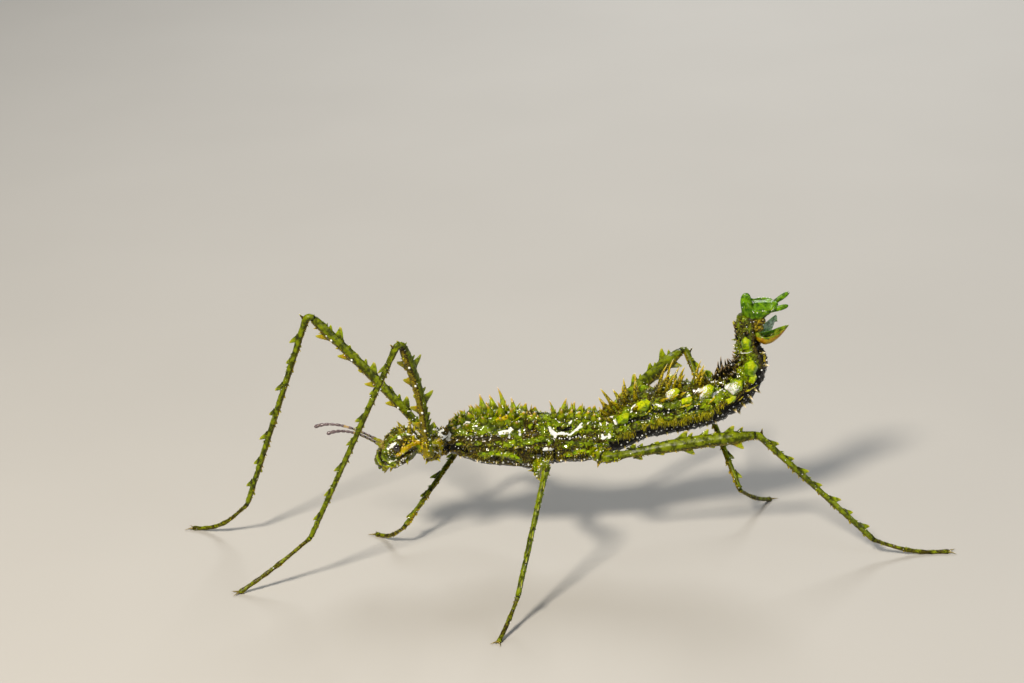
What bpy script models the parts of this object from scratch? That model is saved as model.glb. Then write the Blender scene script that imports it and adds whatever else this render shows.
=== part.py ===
"""A moss-mimic stick insect, standing on its six feet at life size.

Metres, +Z up, head towards -X. The left side is the -Y side.
Every size below is in millimetres and becomes metres through MM.
"""
import math
import random

import bmesh
import bpy
from mathutils import Matrix, Vector

MM = 0.001
COLLECTION_NAME = "moss_mimic_stick_insect"
CUTTER_COLLECTION_NAME = "moss_mimic_stick_insect_cutters"

# Clear width between two neighbouring parts.
GAP = 0.3
BODY_SIDES = 16
LEG_SIDES = 8
FEELER_SIDES = 6
SPINE_SIDES = 5
SEED = 417
# How deep a spine's root goes into the part it grows from.
ROOT_DEPTH = 0.45
# A spine higher than this has a narrow waist at this share of its height.
TALL_SPINE = 1.15
WAIST_SHARE = 0.36
WAIST_PINCH = 0.62
# How far a spine's root stays from the end face of its part.
END_MARGIN = 0.35

# Midline of the trunk from nape to tail: x, z, half height, half width.
TRUNK = {
    "nape": (-14.9, 17.4, 1.45, 1.5),
    "pronotum": (-13.1, 17.6, 2.2, 2.3),
    "collar": (-10.9, 18.0, 2.0, 2.0),
    "hump_front": (-8.0, 18.3, 3.4, 2.9),
    "hump_top": (-4.6, 18.2, 4.3, 3.5),
    "saddle": (-0.9, 17.7, 4.4, 3.6),
    "mid_coxae": (2.4, 17.1, 4.3, 3.5),
    "waist": (5.2, 17.3, 3.9, 3.2),
    "hind_coxae": (9.6, 17.3, 3.9, 3.3),
    "abdomen_root": (13.6, 17.7, 3.3, 3.0),
    "abdomen_rise": (19.0, 20.1, 3.5, 3.2),
    "abdomen_back": (25.0, 21.1, 3.7, 3.3),
    "abdomen_bend": (29.4, 21.9, 3.5, 3.1),
    "abdomen_heel": (33.5, 24.1, 3.0, 2.7),
    "abdomen_turn": (35.8, 27.6, 2.45, 2.2),
    "stem_foot": (35.2, 31.2, 1.6, 1.5),
    "stem_top": (35.2, 35.2, 1.4, 1.35),
}
STATION_NAMES = list(TRUNK)
# Folds along the flank: angle from the back's middle, how far each stands
# out as a share of the half width, and how wide it is in degrees.
FLANK_FOLDS = ((88.0, 0.12, 15.0), (128.0, 0.08, 14.0))

# Head: x, z, half height, half width from nape to lip, on a line that
# points down and forwards.
HEAD = (
    (-15.2, 17.5, 1.3, 1.35),
    (-16.1, 17.6, 2.3, 2.05),
    (-17.6, 17.6, 2.7, 2.3),
    (-19.1, 16.4, 2.35, 2.15),
    (-20.3, 15.7, 1.9, 1.6),
    (-21.3, 15.0, 1.1, 1.0),
)
MOUTH_BACK = -18.8
MOUTH_LINE_FRONT = (-22.5, 15.5)
MOUTH_LINE_REAR = (-18.0, 15.0)
EYE_CENTRE = (-18.35, 2.5, 18.2)
EYE_RADIUS = 0.55
EYE_BOSS_RADIUS = 0.62
FEELER_BOSS_RADIUS = 0.5

# Feelers: root, arch and tip as x, y, z.
FEELERS = {
    "antenna_left": ((-20.4, -0.95, 17.8), (-24.9, -1.6, 22.4), (-28.8, -2.0, 21.1)),
    "antenna_right": ((-20.4, 0.95, 17.6), (-26.8, 1.5, 22.4), (-30.9, 2.0, 20.6)),
}
FEELER_RADIUS = 0.26
FEELER_BEAD = 0.05
FEELER_BEADS = 12
FEELER_TIP_RADIUS = 0.12

# Legs: root on the trunk, hip, knee, ankle and claw as x, y, z.
LEGS = {
    "fore_left": (
        (-12.8, -2.1, 17.2), (-13.4, -4.1, 17.9), (-15.95, -13.0, 39.8),
        (-31.9, -9.5, 7.8), (-43.2, -11.7, 0.3)),
    "fore_right": (
        (-12.9, 2.1, 17.0), (-13.7, 4.1, 17.1), (-30.3, 4.2, 38.2),
        (-42.8, 7.5, 6.0), (-52.2, 11.6, 0.3)),
    "mid_left": (
        (3.0, -2.8, 14.6), (3.2, -5.1, 13.9), (3.9, -16.4, 20.0),
        (-1.4, -26.4, 4.4), (-4.5, -32.1, 0.3)),
    "mid_right": (
        (2.6, 2.8, 14.6), (2.2, 5.1, 13.9), (-6.2, 13.0, 14.6),
        (-18.1, 0.8, 3.7), (-22.9, 5.3, 0.3)),
    "hind_left": (
        (11.5, -3.3, 15.9), (12.8, -5.6, 16.2), (35.5, -8.0, 19.3),
        (52.2, -12.0, 2.9), (63.5, -12.5, 0.3)),
    "hind_right": (
        (11.5, 3.3, 15.9), (12.6, 5.6, 16.2), (26.9, 17.5, 23.5),
        (33.8, 3.0, 5.4), (39.1, 9.3, 0.3)),
}
# How far each thigh bows away from the knee's inside, and how far each foot
# sags below a straight line to its claws.
FEMUR_BOW = {
    "fore_left": 0.75, "fore_right": 0.3, "mid_left": 0.2, "mid_right": 0.2,
    "hind_left": 0.3, "hind_right": 0.3,
}
TARSUS_SAG = {
    "fore_left": 0.3, "fore_right": 1.4, "mid_left": 0.3, "mid_right": 0.8,
    "hind_left": 0.8, "hind_right": 0.5,
}
BOSS_RADIUS = 1.25
# No spine of the trunk is rooted closer than this to the root of a leg.
BOSS_CLEAR = 1.75
COXA_RADIUS = {"fore": 1.3, "mid": 1.15, "hind": 1.15}
COXA_BULGE = 1.08
# Spines round a coxa, and the height and half width of each.
COXA_SPINES = 5
COXA_SPINE = (0.8, 0.3)
HIP_RADIUS = 0.85
HIP_BEND = 0.95
KNEE_BEND = 0.58
MOST_SETBACK = 1.3
KNEE_RADIUS = 0.7
SHIN_HEAD_RADIUS = 0.55
TIBIA_RADIUS = 0.48
ANKLE_RADIUS = 0.4
TARSUS_RADIUS = 0.36
TARSUS_PAD = 0.16
# Share of the foot's length and how far it is swollen there.
TARSUS_BUMPS = (
    (0.06, 0.0), (0.4, 0.0), (0.46, 1.0), (0.5, 0.0), (0.63, 0.9), (0.67, 0.0),
    (0.79, 0.9), (0.83, 0.0), (0.94, 0.3),
)
PAD_RADIUS = 0.5
PAD_HEIGHT = 0.25
CLAW_LENGTH = 1.3
CLAW_RADIUS = 0.27
# Femur half thickness at its base and at its widest place.
FEMUR_WIDTHS = {
    "fore": (0.62, 0.72),
    "mid": (0.62, 0.78),
    "hind": (0.55, 0.95),
}
# Lobes along the legs: height, half length at the root and lean.
FEMUR_LOBE = (1.5, 0.85, 0.55)
SMALL_LOBE = (1.0, 0.5, 0.55)
TIBIA_LOBE = (1.25, 0.75, 0.7)
TIBIA_TOOTH = (0.6, 0.4, 0.5)
LOBE_THICKNESS = 0.3
# Places along a femur and a tibia that carry lobes.
FEMUR_STATIONS = {"fore": 5, "mid": 4, "hind": 5}
TIBIA_STATIONS = {"fore": 7, "mid": 5, "hind": 7}

# Growths on the trunk, by part: row angle from the back's middle, height of
# the spines in the order they stand, half width at the root, backwards lean,
# thickness as a share of the width, and how far the tip hooks backwards.
ROWS = {
    "prothorax": (
        (24.0, (0.9, 1.2), 0.4, 0.1, 1.0, 0.0),
        (72.0, (0.9, 1.0), 0.42, 0.0, 1.0, 0.0),
        (128.0, (0.7, 0.8), 0.36, 0.0, 1.0, 0.0),
    ),
    "mesothorax": (
        (17.0, (0.5, 0.9, 1.1, 2.5, 2.3, 3.2, 2.2, 1.2, 0.7, 1.1, 0.6), 0.5, 0.1, 1.0, 0.15),
        (42.0, (1.0, 1.3, 1.6, 1.9, 1.5, 1.0, 0.9), 0.48, 0.1, 1.0, 0.1),
        (82.0, (0.9, 1.0, 1.2, 1.3, 1.5), 0.6, 0.3, 0.6, 0.2),
        (126.0, (0.6, 0.7, 0.8, 0.7, 0.6), 0.4, 0.0, 1.0, 0.0),
    ),
    "metathorax": (
        (18.0, (2.2, 1.5, 1.0, 0.9, 1.1), 0.48, 0.1, 1.0, 0.1),
        (46.0, (1.0, 1.2, 0.9, 1.0), 0.42, 0.1, 1.0, 0.1),
        (84.0, (1.3, 1.0, 1.2), 0.6, 0.3, 0.6, 0.2),
        (124.0, (0.7, 0.8, 0.7), 0.4, 0.0, 1.0, 0.0),
    ),
    "abdomen_1": (
        (17.0, (2.2, 3.4, 2.6, 3.2, 3.5), 0.5, -0.1, 1.0, 0.25),
        (46.0, (1.3, 1.9, 1.5), 0.46, 0.1, 1.0, 0.3),
        (80.0, (1.2, 1.4), 0.85, 0.5, 0.55, 0.2),
        (132.0, (0.7, 0.8, 0.7), 0.36, 0.0, 1.0, 0.0),
    ),
    "abdomen_2": (
        (17.0, (3.8, 4.0, 2.8, 2.6), 0.5, -0.1, 1.0, 0.35),
        (46.0, (2.0, 1.6, 2.1), 0.46, 0.1, 1.0, 0.4),
        (80.0, (1.4, 1.3), 0.9, 0.55, 0.55, 0.2),
        (132.0, (0.8, 0.7, 0.8), 0.36, 0.0, 1.0, 0.0),
    ),
    "abdomen_3": (
        (17.0, (3.3, 1.9, 2.3), 0.48, 0.0, 1.0, 0.4),
        (46.0, (1.5, 1.8), 0.46, 0.1, 1.0, 0.3),
        (80.0, (1.4, 1.3), 0.85, 0.55, 0.55, 0.2),
        (132.0, (0.7, 0.8), 0.36, 0.0, 1.0, 0.0),
    ),
    "abdomen_4": (
        (17.0, (1.5, 2.4, 2.8, 1.7, 1.5), 0.44, 0.05, 1.0, 0.3),
        (46.0, (1.2, 1.4, 1.2), 0.42, 0.1, 1.0, 0.2),
        (80.0, (1.4, 1.3, 1.1), 0.85, 0.5, 0.55, 0.2),
        (132.0, (0.9, 1.1, 1.2, 1.0), 0.4, 0.1, 1.0, 0.0),
        (160.0, (0.7, 0.9, 0.8), 0.36, 0.1, 1.0, 0.0),
    ),
    "abdomen_5": (
        (20.0, (1.4, 1.2, 0.9), 0.36, 0.1, 1.0, 0.0),
        (84.0, (1.1, 0.9), 0.5, 0.3, 0.6, 0.0),
        (140.0, (1.1, 0.9), 0.36, 0.2, 1.0, 0.0),
    ),
    "abdomen_6": (
        (20.0, (0.7, 0.8), 0.34, 0.3, 1.0, 0.0),
        (90.0, (0.6,), 0.34, 0.2, 1.0, 0.0),
    ),
}
# Trunk parts: first and last station as a place along TRUNK, ring count.
TRUNK_PARTS = {
    "prothorax": (0.0, 2.0, 5),
    "mesothorax": (2.0, 7.0, 9),
    "metathorax": (7.0, 9.0, 5),
    "abdomen_1": (9.0, 10.3, 5),
    "abdomen_2": (10.3, 11.4, 5),
    "abdomen_3": (11.4, 12.3, 4),
    "abdomen_4": (12.3, 13.75, 7),
    "abdomen_5": (13.75, 14.9, 6),
    "abdomen_6": (14.9, 16.0, 4),
}
# Spines of the crest: x, y and z of the root, lean and height.
CREST = (
    ((-17.5, 0.75, 20.0), (-0.5, 0.25, 1.0), 2.0, 0.5),
    ((-18.4, 0.7, 19.1), (-0.8, 0.2, 0.8), 1.3, 0.42),
    ((-16.4, 0.7, 19.8), (0.1, 0.3, 1.0), 1.9, 0.5),
    ((-15.9, 1.3, 19.1), (0.25, 0.6, 0.9), 1.4, 0.42),
    ((-17.1, 1.6, 19.2), (-0.1, 0.8, 0.8), 1.2, 0.42),
    ((-17.0, 1.9, 15.9), (0.1, 0.9, -0.7), 0.8, 0.32),
    ((-18.6, 1.8, 15.2), (-0.2, 0.8, -0.8), 0.6, 0.3),
)
# Feeler-like palps under the mouth: root, tip.
PALPS = (
    ((-20.2, 0.6, 14.1), (-20.9, 0.9, 13.4)),
    ((-19.3, 0.75, 14.4), (-19.7, 1.15, 13.6)),
)
PALP_RADIUS = 0.27

# Tail: x, z, half width and half height along the end plate, then the
# upright lobes and the two fingers as x and z of root and tip, half thickness
# and y, and x, z, half height and half width along the operculum.
TAIL_SEAT = (35.2, 35.5, 1.4, 1.05)
TAIL_SEAT_HEIGHT = 1.4
TAIL_PLATE = (
    (34.9, 36.4, 1.1, 0.6),
    (36.2, 36.5, 1.45, 1.15),
    (38.4, 36.6, 1.4, 1.05),
    (40.0, 36.7, 1.1, 0.7),
)
TAIL_LOBES = (
    ((35.2, 36.3), (35.35, 38.95), 0.8, -0.5),
    ((35.2, 36.3), (35.35, 38.95), 0.8, 0.5),
    ((39.3, 36.2), (41.5, 36.85), 0.38, -0.75),
    ((39.5, 37.0), (41.8, 38.35), 0.4, 0.75),
)
# Rings along a lobe: share of its length, then half thickness and half width
# as shares of its size.
LOBE_RINGS = ((0.0, 0.8, 0.95), (0.55, 0.75, 1.0), (0.85, 0.5, 0.68), (1.0, 0.2, 0.25))
OPERCULUM = (
    (37.05, 32.2, 0.95, 0.85),
    (37.9, 31.85, 1.15, 1.15),
    (39.0, 32.05, 1.15, 1.15),
    (40.1, 32.6, 0.9, 0.95),
    (41.1, 33.1, 0.45, 0.55),
    (41.6, 33.3, 0.25, 0.3),
)

HEAD_GREEN = (0.10, 0.16, 0.02, 1.0)
TRUNK_GREEN = (0.13, 0.25, 0.02, 1.0)
MOSS_YELLOW = (0.42, 0.40, 0.03, 1.0)
LEG_GREEN = (0.12, 0.24, 0.02, 1.0)
TARSUS_OLIVE = (0.25, 0.24, 0.03, 1.0)
FEELER_BROWN = (0.07, 0.05, 0.05, 1.0)
EYE_BROWN = (0.01, 0.008, 0.006, 1.0)
TAIL_GREEN = (0.07, 0.20, 0.02, 1.0)
OPERCULUM_GOLD = (0.28, 0.26, 0.02, 1.0)
MOUTH_OLIVE = (0.16, 0.18, 0.04, 1.0)


def clear_scene():
    """Remove every object the file opened with."""
    for old in list(bpy.data.objects):
        bpy.data.objects.remove(old, do_unlink=True)


def new_collection(name):
    """A collection linked under the scene's own."""
    made = bpy.data.collections.new(name)
    bpy.context.scene.collection.children.link(made)
    return made


def material(name, colour, roughness):
    """A plain coloured surface."""
    made = bpy.data.materials.new(name)
    made.use_nodes = True
    shader = made.node_tree.nodes["Principled BSDF"]
    shader.inputs["Base Color"].default_value = colour
    shader.inputs["Roughness"].default_value = roughness
    return made


def metres(point):
    """A point in millimetres as a vector in metres."""
    return Vector(point) * MM


def blend(a, b, c, d, u):
    """Catmull-Rom value between b and c."""
    return 0.5 * (
        2.0 * b + (c - a) * u + (2.0 * a - 5.0 * b + 4.0 * c - d) * u * u
        + (3.0 * b - a - 3.0 * c + d) * u * u * u)


def trunk_value(place):
    """x, z, half height and half width at a place along the trunk."""
    last = len(STATION_NAMES) - 1
    place = min(max(place, 0.0), float(last))
    index = min(int(place), last - 1)
    picks = [min(max(index + k, 0), last) for k in (-1, 0, 1, 2)]
    rows = [TRUNK[STATION_NAMES[k]] for k in picks]
    return [blend(a, b, c, d, place - index) for a, b, c, d in zip(*rows)]


def trunk_frame(place):
    """Centre, direction, upward and half sizes at a place along the trunk."""
    step = 0.02
    x, z, half_height, half_width = trunk_value(place)
    before = trunk_value(place - step)
    after = trunk_value(place + step)
    along = Vector((after[0] - before[0], 0.0, after[1] - before[1])).normalized()
    upward = Vector((-along.z, 0.0, along.x))
    return Vector((x, 0.0, z)), along, upward, half_height, half_width


def trunk_surface(place, angle, side):
    """Skin point and outward direction; the angle starts at the back's middle."""
    centre, along, upward, half_height, half_width = trunk_frame(place)
    turn = math.radians(angle)
    swell = 1.0
    for middle, share, spread in FLANK_FOLDS:
        swell += share * math.exp(-((angle - middle) / spread) ** 2)
    out = side * half_width * swell * math.sin(turn)
    rise = half_height * math.cos(turn)
    point = centre + Vector((0.0, out, 0.0)) + upward * rise
    normal = Vector((0.0, side * math.sin(turn) / half_width, 0.0))
    normal = (normal + upward * math.cos(turn) / half_height).normalized()
    return point, normal, along


def step_along(place, distance):
    """The place a distance in millimetres further along the trunk."""
    step = 0.02
    before = trunk_value(place - step)
    after = trunk_value(place + step)
    span = math.hypot(after[0] - before[0], after[1] - before[1])
    sides = min(place + step, len(STATION_NAMES) - 1.0) - max(place - step, 0.0)
    return place + distance * sides / span


def ring_points(centre, out, upward, half_width, half_height, sides):
    """Corner points of an elliptic ring."""
    points = []
    for k in range(sides):
        turn = 2.0 * math.pi * (k + 0.5) / sides
        points.append(
            centre + out * half_width * math.sin(turn)
            + upward * half_height * math.cos(turn))
    return points


def loft(rings):
    """A closed mesh through rings of points in millimetres."""
    bm = bmesh.new()
    last = len(rings) - 1
    previous = None
    for index, points in enumerate(rings):
        ends = index in (0, last)
        made = bmesh.ops.create_circle(
            bm, cap_ends=ends, segments=len(points), radius=MM)
        corners = made["verts"]
        for corner, point in zip(corners, points):
            corner.co = point * MM
        edges = list({edge for corner in corners for edge in corner.link_edges})
        if previous:
            bmesh.ops.bridge_loops(bm, edges=previous + edges)
        previous = edges
    bmesh.ops.recalc_face_normals(bm, faces=bm.faces)
    return bm


def rings_along(path, sizes, sides, start_direction, hint):
    """Rings square to a path of points, with half sizes at each."""
    rings = []
    upward = Vector(hint)
    for index, point in enumerate(path):
        if index == 0:
            along = start_direction.normalized()
        elif index == len(path) - 1:
            along = (point - path[index - 1]).normalized()
        else:
            incoming = (point - path[index - 1]).normalized()
            outgoing = (path[index + 1] - point).normalized()
            along = (incoming + outgoing).normalized()
        upward = (upward - along * upward.dot(along)).normalized()
        out = along.cross(upward)
        half_width, half_height = sizes[index]
        rings.append(ring_points(point, out, upward, half_width, half_height, sides))
    return rings


def elbow(start, direction, target, bend):
    """Points of a bend from a start direction round towards a target."""
    heading = direction.normalized()
    across = target - start
    across = (across - heading * across.dot(heading)).normalized()
    turn = 0.0
    for _ in range(40):
        spot = start + heading * bend * math.sin(turn) + across * bend * (1.0 - math.cos(turn))
        aim = target - spot
        turn = math.atan2(aim.dot(across), aim.dot(heading))
    steps = max(1, round(math.degrees(turn) / 32.0))
    points = []
    for k in range(steps + 1):
        bit = turn * k / steps
        points.append(
            start + heading * bend * math.sin(bit) + across * bend * (1.0 - math.cos(bit)))
    return points


def object_from(bm, name, collection):
    """A linked object from a mesh being built."""
    mesh = bpy.data.meshes.new(name)
    bm.to_mesh(mesh)
    bm.free()
    made = bpy.data.objects.new(name, mesh)
    collection.objects.link(made)
    return made


def aimed(root, direction, along):
    """A matrix whose z axis is the direction and x axis lies along."""
    up = direction.normalized()
    side = along - up * along.dot(up)
    if side.length < 1e-6:
        side = up.orthogonal()
    side.normalize()
    across = up.cross(side)
    turn = Matrix((side, across, up)).transposed().to_4x4()
    return Matrix.Translation(root) @ turn


def spine(growths, root, direction, along, height, radius, flat=1.0, hook=0.0):
    """One tapering spine with its root sunk in.

    A tall spine narrows quickly above its foot and its tip leans along.
    """
    bm = bmesh.new()
    full = height + ROOT_DEPTH
    middle = Vector((0.0, 0.0, 0.5 * full - ROOT_DEPTH)) * MM
    shape = Matrix.Diagonal((1.0, flat, 1.0, 1.0))
    bmesh.ops.create_cone(
        bm, cap_ends=True, segments=SPINE_SIDES, radius1=radius * MM, radius2=0.0,
        depth=full * MM, matrix=Matrix.Translation(middle) @ shape)
    bmesh.ops.remove_doubles(bm, verts=bm.verts, dist=1e-7)
    if height > TALL_SPINE:
        waist = WAIST_SHARE * height * MM
        geometry = bm.verts[:] + bm.edges[:] + bm.faces[:]
        bmesh.ops.bisect_plane(bm, geom=geometry, plane_co=(0, 0, waist), plane_no=(0, 0, 1))
        for corner in bm.verts:
            if abs(corner.co.z - waist) < 1e-6:
                corner.co.x = corner.co.x * WAIST_PINCH - 0.1 * hook * MM
                corner.co.y *= WAIST_PINCH
            elif corner.co.z > waist:
                corner.co.x += hook * MM
    bmesh.ops.transform(
        bm, matrix=aimed(metres(root), Vector(direction), Vector(along)), verts=bm.verts)
    bmesh.ops.recalc_face_normals(bm, faces=bm.faces)
    return object_from(bm, "growth", growths)


def rod(growths, start, end, radius_start, radius_end, sides):
    """A straight round bar between two points."""
    path = [Vector(start), Vector(end)]
    rings = rings_along(
        path, [(radius_start,) * 2, (radius_end,) * 2], sides,
        path[1] - path[0], path[1].cross(path[0]) or Vector((0, 0, 1)))
    return object_from(loft(rings), "growth", growths)


def keep_largest(bm):
    """Drop every closed surface but the one with the most area."""
    seen = set()
    islands = []
    for face in bm.faces:
        if face in seen:
            continue
        island = []
        stack = [face]
        seen.add(face)
        while stack:
            here = stack.pop()
            island.append(here)
            for edge in here.edges:
                for other in edge.link_faces:
                    if other not in seen:
                        seen.add(other)
                        stack.append(other)
        islands.append(island)
    islands.sort(key=lambda faces: sum(f.calc_area() for f in faces), reverse=True)
    for island in islands[1:]:
        bmesh.ops.delete(bm, geom=island, context="FACES")


def settle(target, mesh):
    """Give an object a finished mesh with one closed surface."""
    bm = bmesh.new()
    bm.from_mesh(mesh)
    bmesh.ops.remove_doubles(bm, verts=bm.verts, dist=2e-6)
    bmesh.ops.dissolve_degenerate(bm, edges=bm.edges, dist=1e-6)
    loose = [edge for edge in bm.edges if not edge.link_faces]
    bmesh.ops.delete(bm, geom=loose, context="EDGES")
    keep_largest(bm)
    bmesh.ops.recalc_face_normals(bm, faces=bm.faces)
    bm.to_mesh(mesh)
    bm.free()
    old = target.data
    target.data = mesh
    bpy.data.meshes.remove(old)


def volume(mesh):
    """The space that a mesh encloses."""
    bm = bmesh.new()
    bm.from_mesh(mesh)
    space = bm.calc_volume()
    bm.free()
    return space


def combine(target, group, operation):
    """Apply one Boolean of a collection of closed meshes to an object.

    A union that comes out smaller than what it began with is made again by
    the other solver.
    """
    if not group.objects:
        return
    least = volume(target.data) if operation == "UNION" else 0.0
    original = target.data.copy()
    for solver in ("EXACT", "MANIFOLD"):
        modifier = target.modifiers.new("join", "BOOLEAN")
        modifier.operation = operation
        modifier.operand_type = "COLLECTION"
        modifier.collection = group
        modifier.solver = solver
        graph = bpy.context.evaluated_depsgraph_get()
        mesh = bpy.data.meshes.new_from_object(target.evaluated_get(graph))
        target.modifiers.clear()
        settle(target, mesh)
        if volume(target.data) >= 0.999 * least:
            break
        target.data = original.copy()
    for used in list(group.objects):
        bpy.data.objects.remove(used, do_unlink=True)


def finish(target, look):
    """Name the mesh, dress it and shade round pieces smooth."""
    target.data.name = target.name
    target.data.materials.clear()
    target.data.materials.append(look)
    for face in target.data.polygons:
        face.use_smooth = True


def cut_floor(bm):
    """Cut a mesh flat where it would pass through the floor."""
    geometry = bm.verts[:] + bm.edges[:] + bm.faces[:]
    bmesh.ops.bisect_plane(
        bm, geom=geometry, plane_co=(0, 0, 0), plane_no=(0, 0, 1), clear_inner=True)
    rim = [edge for edge in bm.edges if edge.is_boundary]
    bmesh.ops.holes_fill(bm, edges=rim, sides=0)
    bmesh.ops.recalc_face_normals(bm, faces=bm.faces)


class Builder:
    """Makes the named parts one after the other."""

    def __init__(self):
        """Open the collections and the seeded variation."""
        self.parts = new_collection(COLLECTION_NAME)
        self.growths = new_collection(CUTTER_COLLECTION_NAME)
        self.chance = random.Random(SEED)
        self.looks = {
            "head": material("head_green", HEAD_GREEN, 0.35),
            "trunk": material("trunk_green", TRUNK_GREEN, 0.35),
            "abdomen": material("abdomen_green", TRUNK_GREEN, 0.4),
            "coxa": material("moss_yellow", MOSS_YELLOW, 0.4),
            "leg": material("leg_green", LEG_GREEN, 0.4),
            "tarsus": material("tarsus_olive", TARSUS_OLIVE, 0.4),
            "feeler": material("feeler_brown", FEELER_BROWN, 0.45),
            "eye": material("eye_brown", EYE_BROWN, 0.1),
            "tail": material("tail_green", TAIL_GREEN, 0.35),
            "operculum": material("operculum_gold", OPERCULUM_GOLD, 0.35),
            "mouth": material("mouth_olive", MOUTH_OLIVE, 0.35),
        }

    def vary(self, value, share=0.12):
        """A size changed by up to a share of itself."""
        return value * (1.0 + self.chance.uniform(-share, share))

    def close(self, part, look):
        """Join the growths made so far to a part and dress it."""
        combine(part, self.growths, "UNION")
        finish(part, self.looks[look])
        return part

    def trunk_part(self, name):
        """One length of the trunk with its rows of spines."""
        first, last, count = TRUNK_PARTS[name]
        begin = step_along(first, 0.5 * GAP) if first > 0.0 else first
        end = step_along(last, -0.5 * GAP)
        rings = []
        for k in range(count):
            place = begin + (end - begin) * k / (count - 1)
            ring = []
            for corner in range(BODY_SIDES):
                angle = 360.0 * (corner + 0.5) / BODY_SIDES
                side = 1.0 if angle < 180.0 else -1.0
                turned = angle if angle < 180.0 else 360.0 - angle
                ring.append(trunk_surface(place, turned, side)[0])
            rings.append(ring)
        part = object_from(loft(rings), name, self.parts)
        low = step_along(first, 0.5 * GAP + END_MARGIN)
        high = step_along(last, -0.5 * GAP - END_MARGIN)
        for row in ROWS[name]:
            for side in (-1.0, 1.0):
                self.spine_row(low, high, side, row)
        self.add_bosses(name)
        look = "trunk" if "thorax" in name else "abdomen"
        return self.close(part, look)

    def spine_row(self, low, high, side, row):
        """Spines evenly placed along one length of the trunk."""
        angle, heights, radius, lean, flat, hook = row
        count = len(heights)
        inner_low = step_along(low, radius)
        inner_high = step_along(high, -radius)
        for k, height in enumerate(heights):
            share = (k + 0.5 + 0.12 * side) / count if count > 1 else 0.5
            place = inner_low + (inner_high - inner_low) * share
            turned = angle + self.chance.uniform(-5.0, 5.0)
            point, normal, along = trunk_surface(place, turned, side)
            if self.near_boss(point, side, radius):
                continue
            wander = Vector([self.chance.uniform(-0.12, 0.12) for _ in range(3)])
            toward_end = max(0.0, 2.0 * abs(share - 0.5) - 0.4)
            kept = lean * (1.0 - toward_end)
            direction = normal + along * kept + wander
            spine(
                self.growths, point, direction, along, self.vary(height),
                self.vary(radius, 0.08), flat, hook * (1.0 - toward_end))

    def near_boss(self, point, side, radius):
        """Whether a spine rooted here would crowd a leg's boss."""
        for name, points in LEGS.items():
            same_side = name.endswith("left") == (side < 0.0)
            if same_side and (point - Vector(points[0])).length < BOSS_CLEAR + radius:
                return True
        return False

    def add_bosses(self, name):
        """Flat-ended bosses that the legs of this length stand on."""
        owner = {"prothorax": "fore", "mesothorax": "mid", "metathorax": "hind"}
        if name not in owner:
            return
        for side in ("left", "right"):
            root, hip = LEGS[owner[name] + "_" + side][:2]
            start = Vector(root)
            toward = (Vector(hip) - start).normalized()
            rod(
                self.growths, start - toward * 0.8, start + toward * 0.75,
                BOSS_RADIUS, BOSS_RADIUS, 10)

    def leg(self, name):
        """Coxa, femur, tibia and tarsus of one leg, face to face."""
        kind = name.split("_")[0]
        root, hip, corner, ankle, claw = [Vector(p) for p in LEGS[name]]
        coxa_way = (hip - root).normalized()
        turn = (corner - hip).angle(ankle - corner)
        setback = min(KNEE_BEND * math.tan(0.5 * turn), MOST_SETBACK)
        knee = corner - (corner - hip).normalized() * setback
        self.coxa(name, root + coxa_way * (0.75 + GAP), hip, coxa_way)
        femur_way = self.femur(name, kind, hip + coxa_way * GAP, coxa_way, knee, ankle)
        tibia_way = self.tibia(name, kind, knee + femur_way * GAP, femur_way, ankle)
        self.tarsus(name, ankle + tibia_way * GAP, tibia_way, claw, TARSUS_SAG[name])

    def coxa(self, name, start, end, way):
        """The short first length with small spines round it."""
        radius = COXA_RADIUS[name.split("_")[0]]
        middle = (start + end) * 0.5
        path = [start, middle, end]
        sizes = [(radius,) * 2, (radius * COXA_BULGE,) * 2, (HIP_RADIUS,) * 2]
        rings = rings_along(path, sizes, LEG_SIDES, way, (0.0, 0.0, 1.0))
        part = object_from(loft(rings), "coxa_" + name, self.parts)
        height, thick = COXA_SPINE
        for k in range(COXA_SPINES):
            turn = 2.0 * math.pi * k / COXA_SPINES + math.radians(20.0)
            out = way.orthogonal().normalized()
            out = Matrix.Rotation(turn, 3, way) @ out
            if out.z > 0.75:
                continue
            point = middle + out * radius
            spine(self.growths, point, out + way * 0.15, way, self.vary(height), thick)
        self.close(part, "coxa")

    def femur(self, name, kind, start, way, knee, ankle):
        """The thigh, with leaf-like lobes above and below."""
        base, wide = FEMUR_WIDTHS[kind]
        path = elbow(start, way, knee, HIP_BEND)
        count = len(path)
        sizes = [(HIP_RADIUS - 0.02 * k,) * 2 for k in range(count)]
        heel = path[-1]
        run = knee - heel
        thigh = run.normalized()
        inward = (ankle - knee).normalized()
        outward = -(inward - thigh * inward.dot(thigh)).normalized()
        bow = FEMUR_BOW[name]

        def on_axis(share):
            """A point of the bowed middle line of the thigh."""
            return heel + run * share + outward * bow * math.sin(math.pi * share)

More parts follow.
